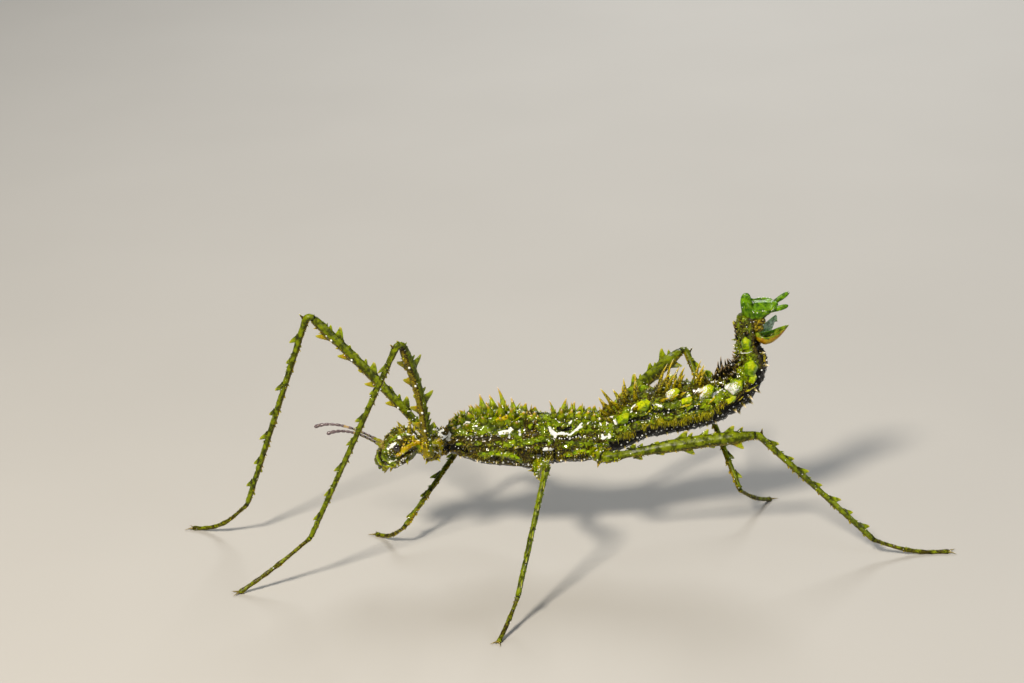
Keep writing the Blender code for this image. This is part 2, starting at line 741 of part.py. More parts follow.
        for share, thick in (
                (0.12, base), (0.3, 0.5 * (base + wide)), (0.5, wide), (0.7, wide),
                (0.85, wide), (0.94, KNEE_RADIUS)):
            path.append(on_axis(share))
            sizes.append((thick * 0.85, thick))
        path.append(knee)
        sizes.append((KNEE_RADIUS * 0.9, KNEE_RADIUS * 0.9))
        rings = rings_along(path, sizes, LEG_SIDES, way, (0.0, 0.0, 1.0))
        part = object_from(loft(rings), "femur_" + name, self.parts)
        stations = FEMUR_STATIONS[kind]
        for k in range(stations):
            share = 0.16 + 0.68 * k / (stations - 1)
            self.lobe(on_axis(share), thigh, outward, wide, FEMUR_LOBE)
            between = on_axis(share + 0.5 * 0.68 / stations)
            self.lobe(between, thigh, outward, wide, SMALL_LOBE)
            self.lobe(on_axis(share + 0.03), thigh, -outward, wide, FEMUR_LOBE)
        self.close(part, "leg")
        return (knee - on_axis(0.94)).normalized()

    def tibia(self, name, kind, start, way, ankle):
        """The shin: bent at the knee, straight to the ankle."""
        path = elbow(start, way, ankle, KNEE_BEND)
        count = len(path)
        sizes = [(SHIN_HEAD_RADIUS,) * 2] * count
        heel = path[-1]
        run = ankle - heel
        for share, thick in ((0.06, TIBIA_RADIUS * 1.1), (0.5, TIBIA_RADIUS), (0.94, ANKLE_RADIUS)):
            path.append(heel + run * share)
            sizes.append((thick * 0.92, thick))
        path.append(ankle)
        sizes.append((ANKLE_RADIUS * 1.05,) * 2)
        rings = rings_along(path, sizes, LEG_SIDES, way, (0.0, 0.0, 1.0))
        part = object_from(loft(rings), "tibia_" + name, self.parts)
        shin = run.normalized()
        outward = (way - shin * way.dot(shin)).normalized()
        stations = TIBIA_STATIONS[kind]
        for k in range(stations):
            share = 0.1 + 0.8 * k / (stations - 1)
            self.lobe(heel + run * share, shin, outward, TIBIA_RADIUS, TIBIA_LOBE)
            self.lobe(
                heel + run * (share + 0.3 / stations), shin, -outward, TIBIA_RADIUS,
                TIBIA_TOOTH)
        self.close(part, "leg")
        return shin

    def lobe(self, spot, way, out, thick, size):
        """A flat three-cornered lobe that leans towards the foot."""
        height, length, lean = size
        tilt = Matrix.Rotation(math.radians(self.chance.uniform(-14.0, 14.0)), 3, way)
        out = tilt @ out
        shift = way * self.chance.uniform(-0.25, 0.25)
        spine(
            self.growths, spot + shift + out * thick * 0.7, out + way * lean, way,
            self.vary(height, 0.15), length, LOBE_THICKNESS / length)

    def tarsus(self, name, start, way, claw, sag):
        """The foot: beaded length, pad on the floor and two claws."""
        foot = Vector((claw.x, claw.y, PAD_HEIGHT))
        run = foot - start
        toward = run.normalized()
        path = [start]
        sizes = [(ANKLE_RADIUS,) * 2]
        for share, bump in TARSUS_BUMPS:
            drop = Vector((0.0, 0.0, sag * math.sin(math.pi * share)))
            path.append(start + run * share - drop)
            thick = TARSUS_RADIUS - 0.06 + TARSUS_PAD * bump
            sizes.append((thick, thick))
        path.append(foot)
        sizes.append((PAD_RADIUS * 0.7,) * 2)
        rings = rings_along(path, sizes, FEELER_SIDES, way, (0.0, 0.0, 1.0))
        part = object_from(loft(rings), "tarsus_" + name, self.parts)
        bm = bmesh.new()
        bmesh.ops.create_uvsphere(
            bm, u_segments=10, v_segments=6, radius=PAD_RADIUS * MM,
            matrix=Matrix.Translation(foot * MM))
        object_from(bm, "growth", self.growths)
        level = Vector((toward.x, toward.y, 0.0)).normalized()
        across = Vector((-level.y, level.x, 0.0))
        for side in (-1.0, 1.0):
            direction = level + across * side * 0.75 - Vector((0.0, 0.0, 0.02))
            root = foot + direction.normalized() * 0.3 + Vector((0.0, 0.0, 0.05))
            spine(self.growths, root, direction, level, CLAW_LENGTH, CLAW_RADIUS)
        combine(part, self.growths, "UNION")
        bm = bmesh.new()
        bm.from_mesh(part.data)
        cut_floor(bm)
        bm.to_mesh(part.data)
        bm.free()
        finish(part, self.looks["tarsus"])

    def head(self):
        """The head with crest, sockets and a cut for the mouth."""
        rings = []
        count = len(HEAD)
        for k, (x, z, half_height, half_width) in enumerate(HEAD):
            before = HEAD[max(k - 1, 0)]
            after = HEAD[min(k + 1, count - 1)]
            along = Vector((after[0] - before[0], 0.0, after[1] - before[1])).normalized()
            upward = Vector((along.z, 0.0, -along.x))
            rings.append(ring_points(
                Vector((x, 0.0, z)), Vector((0.0, 1.0, 0.0)), upward, half_width,
                half_height, 12))
        part = object_from(loft(rings), "head", self.parts)
        mouth = object_from(loft(rings), "mouthparts", self.parts)
        self.mouth_block(0.5 * GAP)
        combine(part, self.growths, "DIFFERENCE")
        self.mouth_block(-0.5 * GAP)
        combine(mouth, self.growths, "INTERSECT")
        for side in (-1.0, 1.0):
            for root, direction, height, radius in CREST:
                spine(
                    self.growths, (root[0], root[1] * side, root[2]),
                    (direction[0], direction[1] * side, direction[2]), (1.0, 0.0, 0.0),
                    self.vary(height, 0.08), radius)
            x, y, z = EYE_CENTRE
            rod(
                self.growths, (x, side * 1.2, z), (x, side * (y - GAP), z),
                EYE_BOSS_RADIUS, EYE_BOSS_RADIUS, 10)
        for root, arch, _ in FEELERS.values():
            toward = (Vector(arch) - Vector(root)).normalized()
            rod(
                self.growths, Vector(root) - toward * 1.4, Vector(root),
                FEELER_BOSS_RADIUS, FEELER_BOSS_RADIUS, 8)
        self.close(part, "head")
        for side in (-1.0, 1.0):
            for root, tip in PALPS:
                rod(
                    self.growths, (root[0], root[1] * side, root[2]),
                    (tip[0], tip[1] * side, tip[2]), PALP_RADIUS, PALP_RADIUS, 6)
        self.close(mouth, "mouth")

    def mouth_block(self, grow):
        """The block below the mouth line, grown or shrunk by a half gap."""
        front = Vector((MOUTH_LINE_FRONT[0], 0.0, MOUTH_LINE_FRONT[1]))
        rear = Vector((MOUTH_LINE_REAR[0], 0.0, MOUTH_LINE_REAR[1]))
        slope = (rear - front).normalized()
        normal = Vector((-slope.z, 0.0, slope.x))
        if normal.z < 0.0:
            normal.negate()
        back = MOUTH_BACK + grow
        top_back = front + slope * (back - front.x) / slope.x + normal * grow
        top_front = front + normal * grow
        half = 4.0
        lower = 9.0
        corners = []
        for y in (-half, half):
            corners.append([
                Vector((top_front.x, y, top_front.z)), Vector((top_back.x, y, top_back.z)),
                Vector((top_back.x, y, lower)), Vector((top_front.x, y, lower))])
        object_from(loft(corners), "block", self.growths)

    def eye(self, side):
        """A domed eye with a flat back."""
        bm = bmesh.new()
        turn = Matrix.Rotation(0.5 * math.pi, 4, "X")
        bmesh.ops.create_uvsphere(
            bm, u_segments=12, v_segments=8, radius=EYE_RADIUS * MM, matrix=turn)
        geometry = bm.verts[:] + bm.edges[:] + bm.faces[:]
        bmesh.ops.bisect_plane(
            bm, geom=geometry, plane_co=(0, 0, 0), plane_no=(0, side, 0), clear_inner=True)
        rim = [edge for edge in bm.edges if edge.is_boundary]
        bmesh.ops.holes_fill(bm, edges=rim, sides=0)
        x, y, z = EYE_CENTRE
        bmesh.ops.translate(bm, verts=bm.verts, vec=metres((x, side * y, z)))
        bmesh.ops.recalc_face_normals(bm, faces=bm.faces)
        name = "eye_left" if side < 0.0 else "eye_right"
        finish(object_from(bm, name, self.parts), self.looks["eye"])

    def feeler(self, name):
        """A beaded feeler in two lengths."""
        root, arch, tip = [Vector(p) for p in FEELERS[name]]
        toward = (arch - root).normalized()
        start = root + toward * GAP
        rows = []
        steps = FEELER_BEADS * 2
        for k in range(steps + 1):
            u = k / steps
            point = start * (1 - u) ** 2 + arch * 2 * u * (1 - u) + tip * u ** 2
            bead = FEELER_BEAD if k % 2 else 0.0
            club = 0.06 if u > 0.8 else 0.0
            scape = 0.14 if k < 2 else 0.0
            rows.append((point, FEELER_RADIUS + bead + club + scape))
        half = steps // 2
        pieces = {"_base": rows[:half + 1], "_tip": rows[half:]}
        for suffix, piece in pieces.items():
            path = [row[0] for row in piece]
            sizes = [(row[1], row[1]) for row in piece]
            if suffix == "_base":
                path[-1] = path[-1] - (path[-1] - path[-2]).normalized() * GAP * 0.5
                way = toward
            else:
                way = path[1] - path[0]
                path[0] = path[0] + way.normalized() * GAP * 0.5
                sizes[-1] = (FEELER_TIP_RADIUS,) * 2
            rings = rings_along(path, sizes, FEELER_SIDES, way, (0.0, 1.0, 0.0))
            part = object_from(loft(rings), name + suffix, self.parts)
            finish(part, self.looks["feeler"])

    def tail(self):
        """The end plate with upright and pointing lobes, and the operculum."""
        x, z, radius, top_radius = TAIL_SEAT
        seat = [Vector((x, 0.0, z)), Vector((x, 0.0, z + TAIL_SEAT_HEIGHT))]
        rings = rings_along(
            seat, [(radius,) * 2, (top_radius,) * 2], 10, seat[1] - seat[0],
            (1.0, 0.0, 0.0))
        part = object_from(loft(rings), "tail_lobes", self.parts)
        path = [Vector((px, 0.0, pz)) for px, pz, _, _ in TAIL_PLATE]
        sizes = [(half_width, half_height) for _, _, half_width, half_height in TAIL_PLATE]
        rings = rings_along(path, sizes, 10, Vector((1.0, 0.0, 0.0)), (0.0, 0.0, 1.0))
        object_from(loft(rings), "growth", self.growths)
        for (rx, rz), (tx, tz), thick, y in TAIL_LOBES:
            root = Vector((rx, y * 0.8, rz))
            tip = Vector((tx, y, tz))
            path = [root + (tip - root) * share for share, _, _ in LOBE_RINGS]
            sizes = [(thick * deep, thick * wide) for _, deep, wide in LOBE_RINGS]
            rings = rings_along(path, sizes, FEELER_SIDES, tip - root, (0.0, 0.01, 1.0))
            object_from(loft(rings), "growth", self.growths)
        self.close(part, "tail")
        path = [Vector((x, 0.0, z)) for x, z, _, _ in OPERCULUM]
        sizes = [(width, height) for _, _, height, width in OPERCULUM]
        rings = rings_along(path, sizes, LEG_SIDES, Vector((1.0, 0.0, 0.0)), (0.0, 0.0, 1.0))
        part = object_from(loft(rings), "operculum", self.parts)
        self.close(part, "operculum")


def centre_over_origin(parts):
    """Slide the whole insect so that its bounding box is centred over the origin."""
    corners = [vertex.co for part in parts for vertex in part.data.vertices]
    shift = Vector((0.0, 0.0, 0.0))
    for axis in (0, 1):
        values = [corner[axis] for corner in corners]
        shift[axis] = -0.5 * (min(values) + max(values))
    for part in parts:
        part.data.transform(Matrix.Translation(shift))


def main():
    """Build every part of the insect."""
    clear_scene()
    builder = Builder()
    builder.head()
    builder.eye(-1.0)
    builder.eye(1.0)
    for name in FEELERS:
        builder.feeler(name)
    for name in TRUNK_PARTS:
        builder.trunk_part(name)
    for name in LEGS:
        builder.leg(name)
    builder.tail()
    centre_over_origin(builder.parts.objects)
    builder.growths.hide_render = True


main()
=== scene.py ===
"""Looks of a moss-mimic stick insect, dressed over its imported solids.

Lengths are millimetres in the animal's own plan, whose middle plane is y = 0
and whose feet stand on z = 0. The head points towards -X and the left side is
the -Y side. Plan turns them into metres in the frame.
"""

import logging
import math
import random
from collections import defaultdict
from collections.abc import Callable, Sequence
from dataclasses import dataclass, field
from enum import Enum
from functools import partial
from typing import NamedTuple

import bmesh
import bpy
import numpy as np
from mathutils import Matrix, Vector, noise

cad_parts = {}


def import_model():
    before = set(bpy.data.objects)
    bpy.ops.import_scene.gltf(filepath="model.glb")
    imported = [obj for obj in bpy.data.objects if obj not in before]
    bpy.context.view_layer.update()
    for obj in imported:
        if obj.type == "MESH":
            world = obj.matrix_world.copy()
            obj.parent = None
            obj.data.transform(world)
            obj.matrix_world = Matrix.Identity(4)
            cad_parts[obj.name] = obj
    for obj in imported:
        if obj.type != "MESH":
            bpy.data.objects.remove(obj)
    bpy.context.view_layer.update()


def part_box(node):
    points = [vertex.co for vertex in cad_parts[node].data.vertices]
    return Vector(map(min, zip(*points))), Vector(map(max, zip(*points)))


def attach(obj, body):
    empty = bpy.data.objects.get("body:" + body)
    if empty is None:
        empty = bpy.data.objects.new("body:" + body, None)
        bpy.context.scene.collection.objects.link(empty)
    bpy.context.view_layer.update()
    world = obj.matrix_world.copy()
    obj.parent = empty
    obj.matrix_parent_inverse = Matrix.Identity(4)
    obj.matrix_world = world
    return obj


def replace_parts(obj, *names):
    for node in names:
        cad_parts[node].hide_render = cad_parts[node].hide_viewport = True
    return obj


MM = 0.001
# The seed of the large spines, which stand where the solids carry theirs.
SEED = 417
# The seed of the fine growth between them.
FINE_SEED = 91
# Between neighbouring lengths of the solids.
GAP = 0.3
# Points closer than this are one, in metres.
WELD = 1.0e-7
BAKE_MAP = "OFBake"
# Side of the patch that a single growth takes on the skin's unwrap.
BAKE_PATCH = 0.003
# Water, and chitin of 1.56 as seen from within a film of water.
WATER_IOR = 1.33
WET_IOR = 1.17
# Red, green and blue reach of light within living leaf-green tissue.
LEAF_GLOW = (0.5, 1.0, 0.2)

LOG = logging.getLogger("moss_insect")

Pair = tuple[float, float]
Triple = tuple[float, float, float]
Row = tuple[float, tuple[float, ...], float, float, float, float]
Looks = dict[str, bpy.types.Material]
Pieces = dict[str, bpy.types.Object]


def linear(code: str) -> tuple[float, float, float, float]:
    """Turn an sRGB hex code into linear colour.

    Args:
        code: Six hex digits after a hash.

    Returns:
        Red, green, blue and an alpha of one.
    """
    parts = [int(code[k:k + 2], 16) / 255.0 for k in (1, 3, 5)]
    bent = [p / 12.92 if p <= 0.04045 else ((p + 0.055) / 1.055) ** 2.4 for p in parts]
    return (bent[0], bent[1], bent[2], 1.0)


def smooth(low: float, high: float, values: np.ndarray) -> np.ndarray:
    """Rise smoothly from 0 at low to 1 at high."""
    share = np.clip((values - low) / (high - low), 0.0, 1.0)
    return share * share * (3.0 - 2.0 * share)


def band(values: np.ndarray, low: float, high: float, soft: float) -> np.ndarray:
    """One between two limits, with borders softened over a width."""
    return smooth(low - soft, low + soft, values) * (1.0 - smooth(high - soft, high + soft, values))


def ripple(points: np.ndarray, size: float, seed: float = 0.0) -> np.ndarray:
    """Seeded noise from about -1 to 1.

    Args:
        points: Rows of x, y and z in millimetres.
        size: Width of one swell in millimetres.
        seed: Shifts the pattern.

    Returns:
        One value for each row.
    """
    offset = Vector((seed * 7.3, seed * 3.1, seed * 5.7))
    scale = 1.0 / size
    return np.array([noise.noise(Vector(p) * scale + offset) for p in points.tolist()])


def rounded(gone: np.ndarray) -> np.ndarray:
    """Fall from 1 to 0 like a quarter of a circle as gone runs from 0 to 1."""
    return np.sqrt(1.0 - np.clip(gone, 0.0, 1.0) ** 2)


def unit(rows: np.ndarray) -> np.ndarray:
    """Rows scaled to length one."""
    return rows / np.maximum(np.linalg.norm(rows, axis=-1, keepdims=True), 1.0e-9)


class Side(Enum):
    """A flank, by the sign of its y."""

    LEFT = -1.0
    RIGHT = 1.0

    def turned(self, angle: float) -> float:
        """The angle all round of one measured from the back down this flank."""
        return angle if self is Side.RIGHT else 360.0 - angle


@dataclass(frozen=True)
class Streak:
    """A ridge, groove or patch that follows a line of places on the skin.

    Attributes:
        line: Places as trunk place and angle from the back's middle.
        width: Half width in millimetres.
        lift: Height in millimetres, negative for a groove.
        green: How green it is.
        yellow: How yellow it is.
        black: How black it is.
        white: How white it is.
        ragged: How far its border wanders, as a share of the width.
    """

    line: tuple[Pair, ...]
    width: float
    lift: float = 0.0
    green: float = 0.0
    yellow: float = 0.0
    black: float = 0.0
    white: float = 0.0
    ragged: float = 0.35


# Midline from lip to tail: x, z, half height, half width.
MIDLINE = {
    "lip": (-21.3, 15.0, 1.1, 1.0),
    "snout": (-20.3, 15.7, 1.9, 1.6),
    "face": (-19.1, 16.4, 2.35, 2.15),
    "crown": (-17.6, 17.6, 2.7, 2.3),
    "occiput": (-16.1, 17.6, 2.3, 2.05),
    "neck": (-15.2, 17.5, 1.3, 1.35),
    "nape": (-14.9, 17.4, 1.45, 1.5),
    "pronotum": (-13.1, 17.6, 2.2, 2.3),
    "collar": (-10.9, 18.0, 2.0, 2.0),
    "hump_front": (-8.0, 18.3, 3.4, 2.9),
    "hump_top": (-4.6, 18.2, 4.3, 3.5),
    "saddle": (-0.9, 17.7, 4.4, 3.6),
    "mid_coxae": (2.4, 17.1, 4.3, 3.5),
    "waist": (5.2, 17.3, 3.9, 3.2),
    "hind_coxae": (9.6, 17.3, 3.9, 3.3),
    "abdomen_root": (13.6, 17.7, 3.3, 3.0),
    "abdomen_rise": (19.0, 20.1, 3.5, 3.2),
    "abdomen_back": (25.0, 21.1, 3.7, 3.3),
    "abdomen_bend": (29.4, 21.9, 3.5, 3.1),
    "abdomen_heel": (33.5, 24.1, 3.0, 2.7),
    "abdomen_turn": (35.8, 27.6, 2.45, 2.2),
    "stem_foot": (35.2, 31.2, 1.6, 1.5),
    "stem_top": (35.2, 35.2, 1.4, 1.35),
}
# Trunk places are counted from the nape, and the head's are negative.
NAPE = 6
# Swellings of the flank: angle, height as a share of the girth, and spread.
FLANK_FOLDS = ((88.0, 0.12, 15.0), (128.0, 0.08, 14.0))
# Rear borders of the trunk's segments as trunk places.
SEGMENT_ENDS = (2.0, 7.0, 9.0, 10.3, 11.4, 12.3, 13.75, 14.9)

# The left eye's flat back is EYE_CENTRE's second value from the middle plane.
EYE_CENTRE = (-18.35, 2.5, 18.2)
EYE_RADIUS = 0.55


class Midline:
    """The smooth line that the trunk and head are drawn round."""

    def __init__(self) -> None:
        """Measure the line once, in fine steps."""
        self.rows = np.array(list(MIDLINE.values()))
        self.last = len(self.rows) - 1
        self.places = np.linspace(0.0, self.last, 1200)
        values = self.value(self.places)
        steps = np.hypot(np.diff(values[:, 0]), np.diff(values[:, 1]))
        self.arcs = np.concatenate(((0.0,), np.cumsum(steps)))
        self.length = float(self.arcs[-1])

    def value(self, place: np.ndarray) -> np.ndarray:
        """Read the line.

        Args:
            place: Places from the lip.

        Returns:
            Rows of x, z, half height and half width.
        """
        place = np.clip(place, 0.0, self.last)
        index = np.minimum(place.astype(int), self.last - 1)
        u = (place - index)[:, None]
        a, b, c, d = (self.rows[np.clip(index + k, 0, self.last)] for k in (-1, 0, 1, 2))
        return 0.5 * (
            2.0 * b + (c - a) * u + (2.0 * a - 5.0 * b + 4.0 * c - d) * u * u
            + (3.0 * b - a - 3.0 * c + d) * u * u * u)

    def arc(self, place: np.ndarray) -> np.ndarray:
        """Distance from the lip in millimetres."""
        return np.interp(place, self.places, self.arcs)

    def place(self, arc: np.ndarray) -> np.ndarray:
        """Place at a distance from the lip."""
        return np.interp(arc, self.arcs, self.places)

    def surface(self, place: np.ndarray, angle: np.ndarray) -> tuple[np.ndarray, ...]:
        """Points of the plain skin.

        Args:
            place: Places from the lip.
            angle: Degrees from the back's middle, 0 to 180 on the right side.

        Returns:
            Points, outward directions, directions along, and half sizes.
        """
        step = 0.02
        value = self.value(place)
        along2 = self.value(place + step)[:, :2] - self.value(place - step)[:, :2]
        zero = np.zeros(len(place))
        along = unit(np.stack((along2[:, 0], zero, along2[:, 1]), axis=1))
        upward = np.stack((-along[:, 2], zero, along[:, 0]), axis=1)
        turn = np.radians(angle)
        folded = np.where(angle > 180.0, 360.0 - angle, angle)
        swell = np.ones(len(place))
        on_trunk = smooth(NAPE - 0.3, NAPE + 0.3, place)
        for middle, share, spread in FLANK_FOLDS:
            swell += on_trunk * share * np.exp(-((folded - middle) / spread) ** 2)
        high, wide = value[:, 2], value[:, 3]
        point = np.stack((value[:, 0], wide * swell * np.sin(turn), value[:, 1]), axis=1)
        point += upward * (high * np.cos(turn))[:, None]
        out = np.stack((zero, np.sin(turn) / wide, zero), axis=1)
        out = unit(out + upward * (np.cos(turn) / high)[:, None])
        return point, out, along, value[:, 2:4]


@dataclass(frozen=True)
class Plan:
    """Where the plan in millimetres lies in the frame."""

    shift: np.ndarray

    @classmethod
    def from_frame(cls) -> "Plan":
        """Read the shift from the left eye, whose flat back is at a known place.

        Returns:
            The plan.
        """
        low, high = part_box("eye_left")
        across = 0.5 * (low.x + high.x) / MM - EYE_CENTRE[0]
        return cls(np.array((across, high.y / MM + EYE_CENTRE[1], 0.0)))

    def metres(self, points: np.ndarray) -> np.ndarray:
        """Rows of points in the frame."""
        return (points + self.shift) * MM


@dataclass
class Marks:
    """What the finishes read at each point of a mesh.

    Attributes:
        tone: Rows of how green, how yellow and how black a point is.
        patch: How white a point is.
        rise: From 0 at the root of a growth to 1 at its tip, and on the tubes a measure of the relief;
            where it is low the finishes paint shade.
    """

    tone: np.ndarray
    patch: np.ndarray
    rise: np.ndarray

    def write(self, mesh: bpy.types.Mesh) -> None:
        """Store the marks as attributes.

        Args:
            mesh: The mesh, with a row of marks for each point.
        """
        store = mesh.attributes.new("tone", "FLOAT_VECTOR", "POINT")
        store.data.foreach_set("vector", self.tone.astype(np.float32).ravel())
        for name, values in (("patch", self.patch), ("rise", self.rise)):
            store = mesh.attributes.new(name, "FLOAT", "POINT")
            store.data.foreach_set("value", values.astype(np.float32))


class Tuft(NamedTuple):
    """One growth, in millimetres.

    Attributes:
        root: Point on the skin.
        out: Direction that it points in.
        along: Direction that its broad side follows.
        height: Height above the skin.
        width: Half width along the skin.
        depth: Half width across.
        hook: How far its tip bends along the skin.
        tone: Green, yellow and black at the root.
        patch: White at the root.
        chart: Place of the root on the skin's unwrap, 0 to 1 each way.
    """

    root: Sequence[float]
    out: Sequence[float]
    along: Sequence[float]
    height: float
    width: float
    depth: float
    hook: float
    tone: Sequence[float]
    patch: float
    chart: Sequence[float]


class Shape:
    """A small closed form turned from a profile, ready to be set many times."""

    def __init__(self, profile: Sequence[tuple[float, float]], sides: int) -> None:
        """Turn the profile round its height.

        Args:
            profile: Radius and height from foot to tip, the ends on the axis.
            sides: Faces round.
        """
        bm = bmesh.new()
        corners = [bm.verts.new((radius, 0.0, height)) for radius, height in profile]
        edges = [bm.edges.new(pair) for pair in zip(corners, corners[1:])]
        bmesh.ops.spin(
            bm, geom=corners + edges, cent=(0, 0, 0), axis=(0, 0, 1), angle=2.0 * math.pi,
            steps=sides, use_merge=True)
        bmesh.ops.remove_doubles(bm, verts=bm.verts, dist=1.0e-5)
        bmesh.ops.recalc_face_normals(bm, faces=bm.faces)
        bm.verts.index_update()
        self.points = np.array([vertex.co[:] for vertex in bm.verts])
        self.faces = [[vertex.index for vertex in face.verts] for face in bm.faces]
        bm.free()
        self.rise = np.clip(self.points[:, 2], 0.0, 1.0)
        turn = np.arctan2(self.points[:, 1], self.points[:, 0]) / (2.0 * math.pi)
        self.chart = np.stack((turn, self.rise - 0.5), axis=1)


SPINE_SHAPE = (
    (0.0, -0.22), (1.05, -0.2), (1.0, 0.0), (0.78, 0.1), (0.58, 0.26), (0.42, 0.46),
    (0.27, 0.69), (0.12, 0.9), (0.0, 1.0))
HOOK_SHAPE = (
    (0.0, -0.2), (1.0, -0.18), (0.9, 0.0), (0.62, 0.14), (0.46, 0.34), (0.36, 0.56),
    (0.22, 0.78), (0.08, 0.95), (0.0, 1.0))
CONE_SHAPE = ((0.0, -0.25), (1.0, -0.2), (0.85, 0.05), (0.45, 0.4), (0.2, 0.8), (0.0, 1.0))
BEAD_SHAPE = ((0.0, -0.4), (0.8, -0.35), (1.0, 0.1), (0.8, 0.6), (0.42, 0.92), (0.0, 1.0))
LOBE_SHAPE = (
    (0.0, -0.3), (1.0, -0.28), (1.0, 0.0), (0.9, 0.2), (0.74, 0.42), (0.56, 0.64),
    (0.36, 0.83), (0.16, 0.96), (0.0, 1.0))
FINGER_SHAPE = (
    (0.0, -0.2), (0.7, -0.18), (0.75, 0.0), (0.92, 0.25), (1.0, 0.5), (0.95, 0.7),
    (0.74, 0.87), (0.4, 0.97), (0.0, 1.0))
THORN_SHAPE = (
    (0.0, -0.3), (1.3, -0.28), (1.12, 0.0), (0.84, 0.12), (0.64, 0.3), (0.5, 0.52),
    (0.34, 0.76), (0.2, 0.93), (0.0, 1.0))
FACET_SHAPE = ((0.0, -0.3), (1.0, -0.25), (1.0, 0.12), (0.78, 0.55), (0.34, 0.9), (0.0, 1.0))
BLOCK_SHAPE = ((0.0, -0.3), (1.0, -0.25), (1.0, 0.2), (0.76, 0.78), (0.5, 0.97), (0.0, 1.0))
BLADE_SHAPE = ((0.0, -0.1), (0.8, -0.05), (1.0, 0.25), (0.6, 0.7), (0.0, 1.0))


def new_object(name: str, mesh: bpy.types.Mesh, look: bpy.types.Material) -> bpy.types.Object:
    """Link a finished mesh as a smooth piece with its material.

    Args:
        name: The piece's name.
        mesh: Its mesh, in metres in the frame.
        look: Its material.

    Returns:
        The linked object.
    """
    mesh.name = name
    mesh.materials.clear()
    mesh.materials.append(look)
    mesh.polygons.foreach_set("use_smooth", np.ones(len(mesh.polygons), bool))
    made = bpy.data.objects.new(name, mesh)
    bpy.context.scene.collection.objects.link(made)
    return made


def scatter(
        name: str, shape: Shape, tufts: list[Tuft], plan: Plan, look: bpy.types.Material,
        bright: float = 0.0, faceted: bool = False) -> bpy.types.Object:
    """Set one shape many times as a joined mesh.

    Args:
        name: The piece's name.
        shape: The form that is repeated.
        tufts: Where and how large each one is.
        plan: Turns millimetres into metres.
        look: The material.
        bright: How far the flank towards the head is painted paler than the other, a painted lit side.
        faceted: Whether its faces meet in sharp edges.

    Returns:
        The piece, with each growth as a small patch of the bake map.
    """
    root, out, along, height, width, depth, hook, tone, patch, chart = (
        np.array(column, float) for column in zip(*tufts))
    upward = unit(out)
    along = unit(along - upward * np.sum(along * upward, axis=1, keepdims=True))
    across = np.cross(upward, along)
    x, y, z = (shape.points[None, :, k] for k in range(3))
    width, depth, height, hook = (v[:, None] for v in (width, depth, height, hook))
    bend = hook * np.clip(z, 0.0, 1.0) ** 1.7
    points = (
        root[:, None, :] + along[:, None, :] * (x * width + bend)[:, :, None]
        + across[:, None, :] * (y * depth)[:, :, None]
        + upward[:, None, :] * (z * height)[:, :, None])
    count, corners = len(root), len(shape.points)
    faces = [
        [corner + k * corners for corner in face]
        for k in range(count) for face in shape.faces]
    mesh = bpy.data.meshes.new(name)
    mesh.from_pydata(plan.metres(points.reshape(-1, 3)).tolist(), [], faces)
    tone = np.repeat(tone, corners, axis=0)
    patch = np.repeat(patch, corners)
    # Painted light: the side towards the head gets more yellow and white, as if lit from the front.
    if bright:
        front = np.tile(smooth(0.05, 0.8, -shape.points[:, 0] * 0.8 + 0.25 * shape.rise), count)
        tone[:, 1] = tone[:, 1] * (1.0 - bright + bright * front)
        patch = patch * (1.0 - bright + bright * front)
    Marks(tone, patch, np.tile(shape.rise, count)).write(mesh)
    chart = np.clip(chart, 0.01, 0.99)[:, None, :]
    chart = (chart + shape.chart[None] * BAKE_PATCH).reshape(-1, 2)
    used = np.empty(len(mesh.loops), np.int32)
    mesh.loops.foreach_get("vertex_index", used)
    layer = mesh.uv_layers.new(name=BAKE_MAP)
    layer.data.foreach_set("uv", chart[used].astype(np.float32).ravel())
    made = new_object(name, mesh, look)
    if faceted:
        mesh.polygons.foreach_set("use_smooth", np.zeros(len(mesh.polygons), bool))
    return made


def tube(
        name: str, rings: int, sides: int,
        draw: Callable[[np.ndarray, np.ndarray], tuple[np.ndarray, Marks]],
        plan: Plan, look: bpy.types.Material) -> bpy.types.Object:
    """Roll a grid into a closed tube and draw a surface on it.

    Args:
        name: The piece's name.
        rings: Steps along.
        sides: Steps round.
        draw: Gives points in millimetres and marks for shares round and along.
        plan: Turns millimetres into metres.
        look: The material.

    Returns:
        The piece, with its seam and both ends closed.
    """
    bm = bmesh.new()
    bmesh.ops.create_grid(bm, x_segments=sides, y_segments=rings, size=0.5)
    mesh = bpy.data.meshes.new(name)
    bm.to_mesh(mesh)
    bm.free()
    flat = np.empty(3 * len(mesh.vertices))
    mesh.vertices.foreach_get("co", flat)
    points, marks = draw(flat[0::3] + 0.5, flat[1::3] + 0.5)
    mesh.vertices.foreach_set("co", plan.metres(points).ravel())
    marks.write(mesh)
    bm = bmesh.new()
    bm.from_mesh(mesh)
    bmesh.ops.remove_doubles(bm, verts=bm.verts, dist=WELD)
    bmesh.ops.recalc_face_normals(bm, faces=bm.faces)
    bm.to_mesh(mesh)
    bm.free()
    return new_object(name, mesh, look)


def add_node(
        tree: bpy.types.NodeTree, kind: str, inputs: dict[str | int, object] | None = None,
        **settings: object) -> bpy.types.NodeOutputs:
    """Add a shader node with its settings and links.

    Args:
        tree: The material's node tree.
        kind: The node's type name after its first word, ShaderNode.
        inputs: For each socket, a value or the output that feeds it.
        settings: Values of its properties.

    Returns:
        The node's outputs.
    """
    made = tree.nodes.new("ShaderNode" + kind)
    for name, value in settings.items():
        setattr(made, name, value)
    for key, value in (inputs or {}).items():
        if isinstance(value, bpy.types.NodeSocket):
            tree.links.new(value, made.inputs[key])
        else:
            made.inputs[key].default_value = value
    return made.outputs


